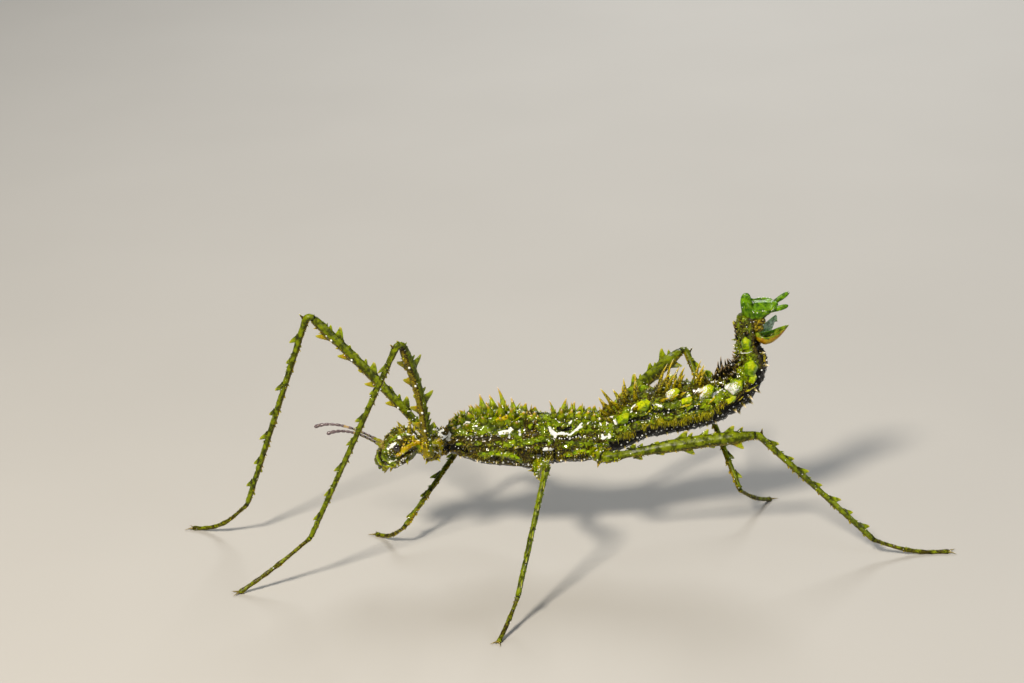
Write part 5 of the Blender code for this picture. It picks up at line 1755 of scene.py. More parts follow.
    def lay_tibia(self, way: Vector) -> Vector:
        """The shin's rings and lobes.

        Args:
            way: The thigh's way at the knee.

        Returns:
            The shin's way at the ankle.
        """
        path = elbow(self.knee + way * GAP, way, self.ankle, self.knee_bend)
        for point in path:
            self.station(point, self.head_radius, 2.0)
        heel, slim = path[-1], self.shin_radius
        run = self.ankle - heel
        for share, thick in ((0.06, slim * 1.1), (0.5, slim), (0.94, self.ankle_radius)):
            self.station(heel + run * share, thick * 0.92, 2.0 + share, thick)
        self.station(self.ankle, self.ankle_radius * 1.05, 2.99)
        self.joints.append(len(self.stations))
        shin = run.normalized()
        outward = (way - shin * way.dot(shin)).normalized()
        self.thorns.append(Tuft(
            heel + outward * self.head_radius * 0.7, outward - shin * 0.5, shin, 1.0, 0.36, 0.28,
            -0.1, (0.1, 0.4, 0.3), 0.0, (0.4, 0.5)))
        stations = self.girth.teeth
        for k in range(stations):
            share = 0.1 + 0.8 * k / (stations - 1)
            for at, out, size, gold, scale in (
                    (share, outward, TIBIA_LOBE, 0.35, TIBIA_TALL[k]),
                    (share + 0.3 / stations, -outward, TIBIA_TOOTH, 0.6, 0.7)):
                self.lobe(heel + run * at, shin, out, slim, size, 1.0 + share, gold, scale)
        return shin

    def lobe(
            self, spot: Vector, way: Vector, out: Vector, thick: float, size: Triple,
            share: float, gold: float, scale: float) -> None:
        """A flat three-cornered lobe that leans towards the foot.

        Args:
            spot: Point on the middle line.
            way: Towards the foot.
            out: Away from the leg.
            thick: The leg's half thickness there.
            size: Height, half length and lean.
            share: How far down the leg, 0 to 2.
            gold: How yellow it is.
            scale: Its height as a share of the usual one.
        """
        height, length, lean = size
        tilt = Matrix.Rotation(math.radians(self.chance.uniform(-14.0, 14.0)), 3, way)
        out = tilt @ out
        shift = way * self.chance.uniform(-0.25, 0.25)
        tall = height * scale * (1.0 + self.chance.uniform(-0.15, 0.15))
        length = length * (0.6 + 0.4 * scale)
        self.lobes.append(Tuft(
            spot + shift + out * thick * 0.8, out + way * lean * 0.5, way, tall, length * 1.1,
            0.2, 0.4 * tall, (0.95, gold, 0.0), 0.0, (0.2 + 0.5 * gold, 0.1 + 0.38 * share)))

    def lay_tarsus(self, start: Vector) -> None:
        """The foot's rings, swollen at each joint, down to the pad.

        Args:
            start: Where the foot begins under the ankle.
        """
        run = self.foot - start
        self.station(start, self.ankle_radius, 3.0)
        for share, bump in FOOT_JOINTS:
            drop = Vector((0.0, 0.0, self.limb.sag * math.sin(math.pi * share)))
            thick = self.foot_radius + self.foot_swell * bump
            self.station(start + run * share - drop, thick, 3.0 + share)
        way = run.normalized()
        self.station(self.foot - way * 0.1, self.pad_radius * 0.95, 3.97)
        self.station(self.foot + way * 0.25, self.pad_radius * 0.6, 3.99)

    def measure(self) -> None:
        """Turn the stations into evenly spaced rings with steady frames."""
        rows = np.array([(*p, w, h, part) for p, w, h, part in self.stations])
        steps = np.linalg.norm(np.diff(rows[:, :3], axis=0), axis=1)
        arc = np.concatenate(((0.0,), np.cumsum(steps)))
        self.joint_arcs = [float(arc[k] + arc[k - 1]) * 0.5 for k in self.joints]
        self.length = float(arc[-1])
        count = int(self.length / self.ring_step)
        self.arc = np.linspace(0.0, self.length, count)
        fine = np.stack([np.interp(self.arc, arc, rows[:, k]) for k in range(6)], axis=1)
        kernel = np.array((0.07, 0.24, 0.38, 0.24, 0.07))
        for _ in range(2):
            padded = np.pad(fine[:, :5], ((2, 2), (0, 0)), mode="edge")
            blurred = sum(padded[k:k + count] * kernel[k] for k in range(5))
            fine[2:-2, :5] = blurred[2:-2]
        self.rings = fine
        self.ways = unit(np.gradient(fine[:, :3], axis=0))
        middle = int(np.searchsorted(self.arc, self.joint_arcs[1])) - 4
        self.outs = np.zeros((count, 3))
        self.outs[middle] = self.outward
        for order in (range(middle + 1, count), range(middle - 1, -1, -1)):
            before = np.array(self.outward)
            for k in order:
                before = before - self.ways[k] * float(before @ self.ways[k])
                before = before / np.linalg.norm(before)
                self.outs[k] = before
        self.outs[middle] = unit(
            self.outs[middle] - self.ways[middle] * float(self.outs[middle] @ self.ways[middle]))

    def ring_at(self, share: np.ndarray) -> tuple[np.ndarray, ...]:
        """Read the leg's course.

        Args:
            share: Shares of the leg's length.

        Returns:
            Rings of middle, half sizes and part, then the outward, sideways
            and lengthwise directions, and the distance from the root.
        """
        arc = share * self.length
        rings, outs, ways = (
            np.stack([np.interp(arc, self.arc, column) for column in table.T], axis=1)
            for table in (self.rings, self.outs, self.ways))
        out, way = unit(outs), unit(ways)
        return rings, out, np.cross(way, out), way, arc

    def surface(self, around: np.ndarray, share: np.ndarray) -> tuple[np.ndarray, ...]:
        """Skin of the leg with keels, joints and relief.

        Args:
            around: Shares round, 0 on the outer edge.
            share: Shares of the leg's length.

        Returns:
            Points, outward directions, ways, tones, patches and rises.
        """
        rings, out, sideways, way, arc = self.ring_at(share)
        turn = around * 2.0 * math.pi
        part = rings[:, 5]
        direction = out * np.cos(turn)[:, None] + sideways * np.sin(turn)[:, None]
        size = rings[:, 4] * np.cos(turn) ** 2 + rings[:, 3] * np.sin(turn) ** 2
        keel = 0.07 * np.cos(4.0 * turn) * band(part, 1.02, 2.97, 0.05)
        point = rings[:, :3] + direction * (size * (1.0 + keel))[:, None]
        lump = ripple(point, 0.7, 11.0)
        grain = ripple(point, 0.28, 12.0)
        lift = (0.07 * lump + 0.04 * grain) * np.where(part > 3.0, 0.4, 1.0)
        dark = np.zeros(len(arc))
        for joint in self.joint_arcs:
            lift -= 0.16 * np.exp(-((arc - joint) / 0.2) ** 2) * np.minimum(1.0, size)
            dark = np.maximum(dark, np.exp(-((arc - joint) / 0.16) ** 2))
        point = point + direction * lift[:, None]
        ends = rounded((share - 0.994) / 0.006) * rounded((0.006 - share) / 0.006)
        point = rings[:, :3] + (point - rings[:, :3]) * ends[:, None]
        point[:, 2] = np.where(part > 2.5, np.maximum(point[:, 2], 0.0), point[:, 2])
        under = -np.cos(turn)
        coxal = 1.0 - smooth(0.95, 1.06, part)
        fore = self.kind == "fore"
        reach = 0.5 if self.name == "fore_left" else 0.0
        green = 0.8 - (0.6 if fore else 0.35) * smooth(0.1 - reach, 0.8 - reach, under)
        green -= 0.35 * smooth(2.97, 3.03, part) + (0.3 if fore else 0.05) * coxal
        yellow = 0.14 + (0.46 if fore else 0.4) * smooth(0.2 - reach, 0.9 - 0.6 * reach, under)
        yellow += 0.12 * smooth(2.8, 3.1, part) + (0.95 if fore else 0.05) * coxal
        yellow += 0.14 * lump + 0.45 * coxal * lump
        # The white flecks are painted glints of the wet film, denser on the first length.
        spot = ripple(point, 0.5, 14.0)
        patch = 0.6 * smooth(0.5, 0.68, spot) * (0.5 + 0.5 * smooth(0.0, 0.3, lump))
        patch = np.maximum(patch, 0.9 * coxal * smooth(0.3, 0.45, spot))
        tone = np.stack((green, yellow, 0.75 * dark), axis=1)
        # Rise follows the relief, so hollows and the grooves at the joints get painted shade.
        rise = np.clip(0.27 + 0.08 * (part > 3.0) + 1.6 * lift, 0.0, 0.45)
        return point, direction, way, tone, patch, rise

    def draw(self, around: np.ndarray, share: np.ndarray) -> tuple[np.ndarray, Marks]:
        """Points and marks for the leg's tube."""
        point, _, _, tone, patch, rise = self.surface(around, share)
        return point, Marks(tone, patch, rise)

    def beads(self, count: int = 460, at_root: int = 90) -> None:
        """Grains along the leg, about one in eight white as a painted glint on a wet bump.

        Args:
            count: How many.
            at_root: How many of them sit on the first length.
        """
        draw = np.random.default_rng(FINE_SEED + len(self.name) + int(self.length * 10.0))
        around = draw.random(count)
        share = draw.uniform(0.02, 0.93, count)
        share[:at_root] = draw.uniform(0.03, 0.1, at_root)
        point, out, way, tone, _, _ = self.surface(around, share)
        size = 0.035 + 0.085 * draw.random(count) ** 2.2 + 0.05 * (share < 0.12)
        # About one grain in eight is white: a painted glint.
        white = np.where(draw.random(count) < 0.12, 1.0, 0.0)
        tone = np.clip(tone + np.array((0.0, 0.25, 0.0)), 0.0, 1.0)
        for k in range(count):
            self.drops.append(Tuft(
                point[k], out[k], way[k], size[k] * 1.2, size[k], size[k], 0.0, tone[k],
                white[k], (around[k], share[k])))

    def teeth(self, count: int = 60) -> None:
        """Small teeth between the lobes, on both edges of thigh and shin.

        Args:
            count: How many.
        """
        draw = np.random.default_rng(FINE_SEED + int(self.length * 100.0))
        around = np.where(draw.random(count) < 0.5, 0.0, 0.5) + draw.normal(0.0, 0.07, count)
        share = draw.uniform(0.06, 0.8, count)
        point, out, way, tone, _, _ = self.surface(around % 1.0, share)
        for k in range(count):
            height = float(draw.uniform(0.2, 0.5))
            self.thorns.append(Tuft(
                point[k], out[k] + way[k] * 0.4, way[k], height, 0.45 * height,
                0.2 * height + 0.04, 0.1, tone[k] + np.array((0.0, 0.2, 0.0)), 0.0,
                (around[k] % 1.0, share[k])))

    def claws(self) -> list[Tuft]:
        """Two hooked claws at the pad.

        Returns:
            The claws.
        """
        level = Vector((*(self.foot - self.ankle).to_2d(), 0.0)).normalized()
        across = Vector((-level.y, level.x, 0.0))
        made = []
        for side in Side:
            way = (level + across * side.value * 0.75 + Vector((0.0, 0.0, 0.12))).normalized()
            made.append(Tuft(
                self.foot + way * 0.25, way, (0.0, 0.0, -1.0), 1.25, 0.2, 0.16, 0.22,
                (0.0, 0.3, 0.4), 0.0, (0.5 + 0.2 * side.value, 0.5)))
        return made

    def build(self, looks: Looks) -> Pieces:
        """Make the leg's skin, lobes, beads and claws.

        Args:
            looks: Materials by name.

        Returns:
            The pieces by name.
        """
        self.teeth()
        skin = "leg_" + self.name
        self.beads()
        made = {skin: tube(skin, len(self.arc), self.sides, self.draw, self.plan, looks["leg"])}
        for kind, profile, sides, tufts, look in (
                ("leg_lobes", THORN_SHAPE, 12, self.lobes, "leg_lobe"),
                ("leg_thorns", CONE_SHAPE, 6, self.thorns, "leg_lobe"),
                ("leg_beads", BEAD_SHAPE, 6, self.drops, "bead"),
                ("claws", SPINE_SHAPE, 10, self.claws(), "claw")):
            name = kind + "_" + self.name
            made[name] = scatter(name, Shape(profile, sides), tufts, self.plan, looks[look])
        return made


# Feelers: root, corner that the curve is drawn towards, and tip.
FEELERS = {
    "antenna_left": ((-20.4, -0.95, 17.8), (-24.9, -1.6, 22.4), (-28.8, -2.0, 21.1)),
    "antenna_right": ((-20.4, 0.95, 17.6), (-26.8, 1.5, 22.4), (-30.9, 2.0, 20.6)),
}


@dataclass
class Feeler:
    """One beaded feeler.

    Attributes:
        name: Its name.
        plan: Turns millimetres into metres.
        radius: Of a bead.
        links: How many beads.
        rings: Steps along.
        sides: Steps round.
        sunk: How far its root is sunk in the head.
    """

    name: str
    plan: Plan
    radius: float = 0.2
    links: int = 14
    rings: int = 280
    sides: int = 16
    sunk: float = 0.9

    def __post_init__(self) -> None:
        """Read the feeler's curve."""
        self.root, self.arch, self.tip = (np.array(p) for p in FEELERS[self.name])
        self.root = self.root - unit(self.arch - self.root) * self.sunk

    def draw(self, around: np.ndarray, share: np.ndarray) -> tuple[np.ndarray, Marks]:
        """Draw the beaded length, thick at its root and clubbed at its tip.

        Args:
            around: Shares round it.
            share: Shares along it.

        Returns:
            Points and marks.
        """
        u = share[:, None]
        centre = self.root * (1 - u) ** 2 + self.arch * 2 * u * (1 - u) + self.tip * u ** 2
        way = unit((self.arch - self.root) * (1 - u) + (self.tip - self.arch) * u)
        side = unit(np.cross(way, np.array((0.0, 0.0, 1.0))))
        upward = np.cross(side, way)
        turn = around * 2.0 * math.pi
        bead = np.abs(np.sin(share ** 0.78 * self.links * math.pi)) ** 0.55
        size = self.radius * (0.62 + 0.5 * bead)
        size = size + 0.17 * (1.0 - smooth(0.08, 0.2, share)) + 0.07 * smooth(0.7, 0.95, share)
        size = size * rounded((share - 0.965) / 0.035) * rounded((0.01 - share) / 0.01)
        direction = side * np.cos(turn)[:, None] + upward * np.sin(turn)[:, None]
        point = centre + direction * size[:, None]
        joint = 1.0 - smooth(0.25, 0.75, bead)
        gold = band(share, 0.46, 0.53, 0.03) * bead + 0.42 * joint * smooth(0.2, 0.4, share)
        gold = np.maximum(gold, 0.55 * (1.0 - smooth(0.1, 0.16, share)))
        inner = band(share, 0.18, 0.44, 0.03)
        lit_top = smooth(0.1, 0.8, np.sin(turn))
        gold = np.maximum(gold, 0.75 * inner * bead * smooth(0.3, 0.9, -np.sin(turn)))
        green = 0.9 * (1.0 - smooth(0.13, 0.2, share)) + 0.5 * inner * (1.0 - lit_top)
        tone = np.stack((green, gold, (0.3 + 0.5 * joint) * inner), axis=1)
        # The pale on the upper side of the middle beads is a painted highlight, and the pale towards the
        # tip is their grey colour.
        pale = 0.6 * bead * inner * lit_top + 0.36 * smooth(0.74, 0.86, share)
        # Rise dips between the beads, so the finish paints shade in the joints.
        return point, Marks(tone, pale, 0.3 + 0.12 * bead)

    def build(self, look: bpy.types.Material) -> bpy.types.Object:
        """Make the feeler."""
        return tube(self.name, self.rings, self.sides, self.draw, self.plan, look)


# Mouthparts of the right side: root, direction, height, half width, half
# depth, hook, tone, white and place on the unwrap.
MOUTHPARTS = {
    "lower_lip": (
        (-20.9, 0.45, 14.9), (-0.6, 0.1, -0.9), 1.0, 0.6, 0.5, 0.0, (0.9, 0.3, 0.0), 0.0, 0.2),
    "jaw": (
        (-20.3, 0.95, 14.7), (-0.5, 0.15, -0.9), 0.95, 0.62, 0.42, 0.15, (0.8, 0.5, 0.0), 0.0,
        0.4),
    "front_palp": (
        (-20.2, 0.65, 14.3), (-0.45, 0.2, -0.8), 0.95, 0.3, 0.26, 0.0, (0.6, 0.6, 0.0), 0.0,
        0.6),
    "rear_palp": (
        (-19.4, 0.8, 14.5), (-0.35, 0.3, -0.8), 0.85, 0.26, 0.22, 0.0, (0.4, 0.7, 0.0), 0.2,
        0.8),
}


@dataclass
class Face:
    """Eyes and mouthparts.

    Attributes:
        plan: Turns millimetres into metres.
        eye_sides: Faces round an eye.
        eye_sunk: How far the dome's foot lies within its seat.
        along: The way that the mouthparts' broad sides follow.
    """

    plan: Plan
    eye_sides: int = 32
    eye_sunk: float = 0.16
    along: Triple = (-0.4, 0.0, 1.0)

    def eye(self, side: Side, look: bpy.types.Material) -> bpy.types.Object:
        """Make a glossy domed eye with a short shank sunk in its seat.

        Args:
            side: The flank that it is on.
            look: The material.

        Returns:
            The piece.
        """
        x, y, z = EYE_CENTRE
        profile = [(0.0, -0.5), (0.9, -0.5), (0.98, -0.1)]
        for k in range(9):
            turn = 0.5 * math.pi * k / 8
            profile.append((math.cos(turn), math.sin(turn)))
        ball = Tuft(
            (x, side.value * (y - self.eye_sunk), z), (0.0, side.value, 0.0), (1.0, 0.0, 0.0),
            EYE_RADIUS * 0.95, EYE_RADIUS, EYE_RADIUS, 0.0, (0.0, 0.0, 1.0), 0.0, (0.5, 0.5))
        name = "eyeball_" + side.name.lower()
        return scatter(name, Shape(profile, self.eye_sides), [ball], self.plan, look)

    def mouth(self, look: bpy.types.Material) -> bpy.types.Object:
        """Make the upper lip, jaws and two pairs of palps.

        Args:
            look: The material.

        Returns:
            The piece.
        """
        made = []
        for side in Side:
            for root, out, *size, tone, patch, chart in MOUTHPARTS.values():
                (x, y, z), (forward, outward, upward) = root, out
                made.append(Tuft(
                    (x, y * side.value, z), (forward, outward * side.value, upward), self.along,
                    *size, tone, patch, (chart, 0.3)))
        made.append(Tuft(
            (-21.2, 0.0, 15.2), (-1.0, 0.0, -0.55), self.along, 0.9, 0.85, 0.8, 0.0,
            (0.9, 0.35, 0.0), 0.0, (0.5, 0.6)))
        return scatter("mouth", Shape(LOBE_SHAPE, 16), made, self.plan, look)


def closed(share: np.ndarray, power: float) -> np.ndarray:
    """Close a form at both of its ends, the more bluntly the greater the power."""
    return rounded(np.abs(2.0 * share - 1.0) ** power)


@dataclass
class Tail:
    """End plate with its lobes and the boat-shaped operculum.

    Attributes:
        plan: Turns millimetres into metres.
        plate: Along the plate: x, z, half width and half height.
        operculum: Along the operculum: x, z, half height and half width.
        lobes: Upright lobes and fingers: root, tip, half thickness, half width.
        folds: Folds below the plate: root, way, height and half width.
        tooth: The stem's tooth, in the lobes' terms.
        upright_to: Lobes whose tips are nearer the head than this stand upright.
        membrane: The sheet's front and rear end: x, lower and upper edge.
        sheet_side: Its distance from the middle plane, on the right.
        sheet_half: Half its thickness.
    """

    plan: Plan
    plate: tuple[tuple[float, ...], ...] = (
        (34.7, 36.2, 1.15, 1.25), (35.6, 36.4, 1.4, 2.1), (36.6, 36.4, 1.45, 2.15),
        (37.6, 36.45, 1.45, 1.85), (38.7, 36.75, 1.4, 1.2), (40.1, 36.8, 1.05, 0.65))
    operculum: tuple[tuple[float, ...], ...] = (
        (36.2, 32.3, 0.8, 0.8), (37.1, 32.1, 1.05, 1.0), (37.9, 31.85, 1.2, 1.15),
        (39.0, 32.05, 1.15, 1.15), (40.1, 32.6, 0.9, 0.95), (41.1, 33.15, 0.45, 0.55),
        (41.6, 33.4, 0.2, 0.2))
    lobes: tuple[tuple, ...] = (
        ((35.2, -0.5, 36.0), (35.35, -0.55, 38.9), 0.3, 0.82),
        ((35.2, 0.5, 36.0), (35.35, 0.55, 38.8), 0.3, 0.82),
        ((39.2, -0.6, 36.2), (41.5, -0.8, 36.9), 0.3, 0.42),
        ((39.4, 0.6, 36.9), (41.85, 0.8, 38.4), 0.32, 0.42))
    folds: tuple[tuple, ...] = (
        ((35.8, 34.5), (1.0, 0.05), 2.3, 0.7), ((35.9, 33.6), (1.0, -0.1), 1.9, 0.65))
    tooth: tuple = ((34.05, -0.3, 33.1), (32.95, -0.3, 34.6), 0.42, 0.6)
    upright_to: float = 36.0
    membrane: tuple[Triple, Triple] = ((37.4, 32.3, 33.6), (39.6, 32.6, 35.3))
    sheet_side: float = 0.35
    sheet_half: float = 0.09

    @staticmethod
    def along(table: Sequence[Sequence[float]], share: np.ndarray) -> np.ndarray:
        """Read smooth values along a short list of rings.

        Args:
            table: The rings, each beginning with its x.
            share: Shares of the way from the first to the last.

        Returns:
            A row like the table's for each share.
        """
        rows = np.array(table)
        spots = (rows[:, 0] - rows[0, 0]) / (rows[-1, 0] - rows[0, 0])
        wide = np.linspace(0.0, 1.0, 200)
        made = []
        for column in rows.T:
            level = np.interp(wide, spots, column)
            padded = np.pad(level, 12, mode="reflect", reflect_type="odd")
            level = np.convolve(padded, np.full(25, 0.04), mode="valid")
            made.append(np.interp(share, wide, level))
        return np.stack(made, axis=1)

    def draw_plate(self, around: np.ndarray, share: np.ndarray) -> tuple[np.ndarray, Marks]:
        """Draw the end plate, dished above and keeled below.

        Args:
            around: Shares round it.
            share: Shares along it.

        Returns:
            Points and marks.
        """
        rows = self.along(self.plate, share)
        turn = around * 2.0 * math.pi
        close = closed(share, 4.0)
        rise = np.cos(turn)
        dish = smooth(0.4, 0.95, rise) * band(share, 0.2, 0.9, 0.1)
        y = rows[:, 2] * np.sin(turn) * close
        z = rows[:, 1] + rows[:, 3] * close * (rise - 0.55 * dish)
        upper = band(share, 0.25, 0.85, 0.12) * smooth(0.0, 0.35, rise)
        z = z - 0.85 * upper * smooth(0.0, 0.6, -np.sin(turn))
        z = z + 0.3 * upper * smooth(0.0, 0.6, np.sin(turn))
        point = np.stack((rows[:, 0], y, z), axis=1)
        lump = ripple(point, 0.9, 21.0)
        small = ripple(point, 0.4, 22.0)
        middle = np.stack((rows[:, 0], np.zeros(len(y)), rows[:, 1]), axis=1)
        swell = 1.0 + (0.12 * lump + 0.05 * small) * close
        point = middle + (point - middle) * swell[:, None]
        edge = np.exp(-((rise - 0.42) / 0.12) ** 2)
        low = smooth(0.1, 0.9, -rise)
        green = 0.95 - 0.6 * low
        yellow = 0.06 + 0.25 * lump + 0.4 * edge + 0.5 * low
        patch = 0.75 * edge * smooth(0.15, 0.5, small) * (share > 0.25) * (y < 0.0)
        tone = np.stack((green, yellow, 0.2 * smooth(0.2, 0.9, -rise)), axis=1)
        # Rise follows the lumps, so the hollows between them get painted shade.
        return point, Marks(tone, patch, np.clip(0.3 + 0.4 * lump, 0.0, 0.45))

    def draw_boat(self, around: np.ndarray, share: np.ndarray) -> tuple[np.ndarray, Marks]:
        """Draw the operculum, hollowed from above.

        Args:
            around: Shares round it.
            share: Shares along it.

        Returns:
            Points and marks.
        """
        rows = self.along(self.operculum, share)
        turn = around * 2.0 * math.pi
        close = closed(share, 3.0)
        rise = np.cos(turn)
        y = rows[:, 3] * np.sin(turn) * close
        hollow = smooth(0.1, 0.75, rise) * band(share, 0.2, 0.93, 0.1)
        z = rows[:, 1] + rows[:, 2] * 1.12 * close * (rise - (rise + 0.38) * hollow)
        point = np.stack((rows[:, 0], y, z), axis=1)
        lump = ripple(point, 0.7, 23.0)
        rim = np.exp(-((rise - 0.12) / 0.16) ** 2)
        low = smooth(-0.1, 0.45, -rise)
        green = 0.85 * (1.0 - low) - 0.3 * hollow
        yellow = 0.3 + 0.9 * low - 0.6 * hollow + 0.35 * lump
        patch = 0.36 * hollow + 0.55 * rim * band(share, 0.12, 0.32, 0.06)
        tone = np.stack((green, yellow, 0.15 * smooth(0.8, 1.0, -rise)), axis=1)
        # Rise follows the lumps, so the hollows between them get painted shade.
        return point, Marks(tone, patch, np.clip(0.36 + 0.2 * lump, 0.0, 0.45))

    def draw_membrane(self, around: np.ndarray, share: np.ndarray) -> tuple[np.ndarray, Marks]:
        """Draw the thin sheet that stands in the boat under the plate.

        Args:
            around: Shares round it.
            share: Shares along it.

        Returns:
            Points and marks.
        """
        turn = around * 2.0 * math.pi
        x, low, high = (
            front + (rear - front) * share for front, rear in zip(*self.membrane))
        close = closed(share, 5.0)
        z = 0.5 * (low + high) + 0.5 * (high - low) * np.cos(turn) * close
        y = self.sheet_side + self.sheet_half * np.sin(turn) * close
        point = np.stack((x + 0.35 * np.cos(turn), y, z), axis=1)
        tone = np.stack((0.6 * np.ones(len(x)), 0.1 * share, np.zeros(len(x))), axis=1)
        return point, Marks(tone, np.full(len(x), 0.3), np.full(len(x), 0.4))

    def broad_way(self, tip: Triple) -> Triple:
        """The way that the broad side of a lobe or finger follows."""
        return (1.0, 0.0, 0.0) if tip[0] < self.upright_to else (0.0, 0.0, 1.0)

    def blades(self) -> list[Tuft]:
        """The upright lobes and the two fingers.

        Returns:
            All four.
        """
        made = []
        for root, tip, thick, wide in self.lobes:
            way = np.array(tip) - np.array(root)
            made.append(Tuft(
                root, way, self.broad_way(tip), float(np.linalg.norm(way)), wide, thick, 0.0,
                (0.85, 0.22, 0.0), 0.0, (0.5 + 0.2 * root[1], 0.97)))
        return made

    def fold(self) -> list[Tuft]:
        """Soft folds that fill the gap between the stem, the plate and the boat.

        Returns:
            The folds, in pairs.
        """
        return [
            Tuft(
                (x, side, z), (forward, 0.2 * side, upward), (0.0, 0.0, 1.0), height, wide, 0.6,
                0.0, (0.3, 0.5, 0.0), 0.1, (0.5 + 0.2 * side, 0.93))
            for (x, z), (forward, upward), height, wide in self.folds for side in (-0.45, 0.45)]

    def stem_tooth(self) -> list[Tuft]:
        """The tooth in front of the stem.

        Returns:
            That one tooth.
        """
        root, tip, thick, wide = self.tooth
        way = np.array(tip) - np.array(root)
        return [Tuft(
            root, way, (1.0, 0.0, 0.0), float(np.linalg.norm(way)), wide, thick, 0.25,
            (0.4, 0.4, 0.0), 0.0, (0.5, 0.9))]

    def trim(self, count: int = 46, each: int = 6) -> list[Tuft]:
        """Pale beads on the plate's rim and on the lobes and fingers.

        Args:
            count: How many on the rim.
            each: How many on each lobe and finger.

        Returns:
            The beads.
        """
        draw = np.random.default_rng(FINE_SEED + 5)
        made = []
        share = draw.uniform(0.25, 0.98, count)
        left = draw.random(count) < 0.5
        around = np.where(left, 0.82, 0.18) + draw.normal(0.0, 0.035, count)
        point, marks = self.draw_plate(around, share)
        for k in range(count):
            size = float(draw.uniform(0.04, 0.1))
            side = -1.0 if left[k] else 1.0
            made.append(Tuft(
                point[k], (0.1, side * 0.7, 0.7), (1.0, 0.0, 0.0), size * 1.3, size, size, 0.0,
                marks.tone[k], 1.0, (around[k], 0.95)))
        for root, tip, thick, wide in self.lobes:
            for _ in range(each):
                along = float(draw.uniform(0.2, 0.95))
                spot = np.array(root) * (1.0 - along) + np.array(tip) * along
                edge = float(draw.choice((-1.0, 1.0))) * wide * 0.72 * (1.1 - along ** 3)
                spot = spot + np.array(self.broad_way(tip)) * edge
                spot = spot + np.array((0.0, float(draw.uniform(-0.7, 0.7)) * thick, 0.0))
                size = float(draw.uniform(0.04, 0.09))
                made.append(Tuft(
                    spot, (0.2, -0.6, 0.6), (1.0, 0.0, 0.0), size * 1.3, size, size, 0.0,
                    (0.8, 0.4, 0.0), 1.0, (0.5, 0.98)))
        return made

    def build(self, looks: Looks) -> Pieces:
        """Make the plate, its lobes, the operculum and their trim.

        Args:
            looks: Materials by name.

        Returns:
            The pieces by name.
        """
        made = {}
        # Hollow and flat forms are drawn with a number of rings, and the
        # others are turned from a profile and set on their roots.
        for name, form, source, sides, look in (
                ("tail_plate", 60, self.draw_plate, 56, "tail"),
                ("tail_fingers", FINGER_SHAPE, self.blades, 20, "tail"),
                ("tail_boat", 72, self.draw_boat, 64, "operculum"),
                ("tail_membrane", 30, self.draw_membrane, 24, "membrane"),
                ("tail_trim", BEAD_SHAPE, self.trim, 7, "bead"),
                ("tail_tooth", THORN_SHAPE, self.stem_tooth, 12, "leg_lobe"),
                ("tail_fold", FINGER_SHAPE, self.fold, 18, "fold")):
            if isinstance(form, int):
                made[name] = tube(name, form, sides, source, self.plan, looks[look])
            else:
                made[name] = scatter(name, Shape(form, sides), source(), self.plan, looks[look])
        return made


class Lamp(NamedTuple):
    """One soft lamp.

    Attributes:
        spot: Where it hangs, in metres.
        size: Width in metres.
        watts: Power.
        colour: Its light's sRGB hex code.
    """

    spot: Triple
    size: float
    watts: float
    colour: str


LAMPS = {
    "key": Lamp((-0.2, -0.3, 0.42), 0.1, 4.1, "#fff4e4"),
    "fill": Lamp((0.38, -0.3, 0.22), 0.3, 0.7, "#eef4ff"),
    "rim": Lamp((0.1, 0.42, 0.34), 0.2, 1.5, "#ffffff"),
}


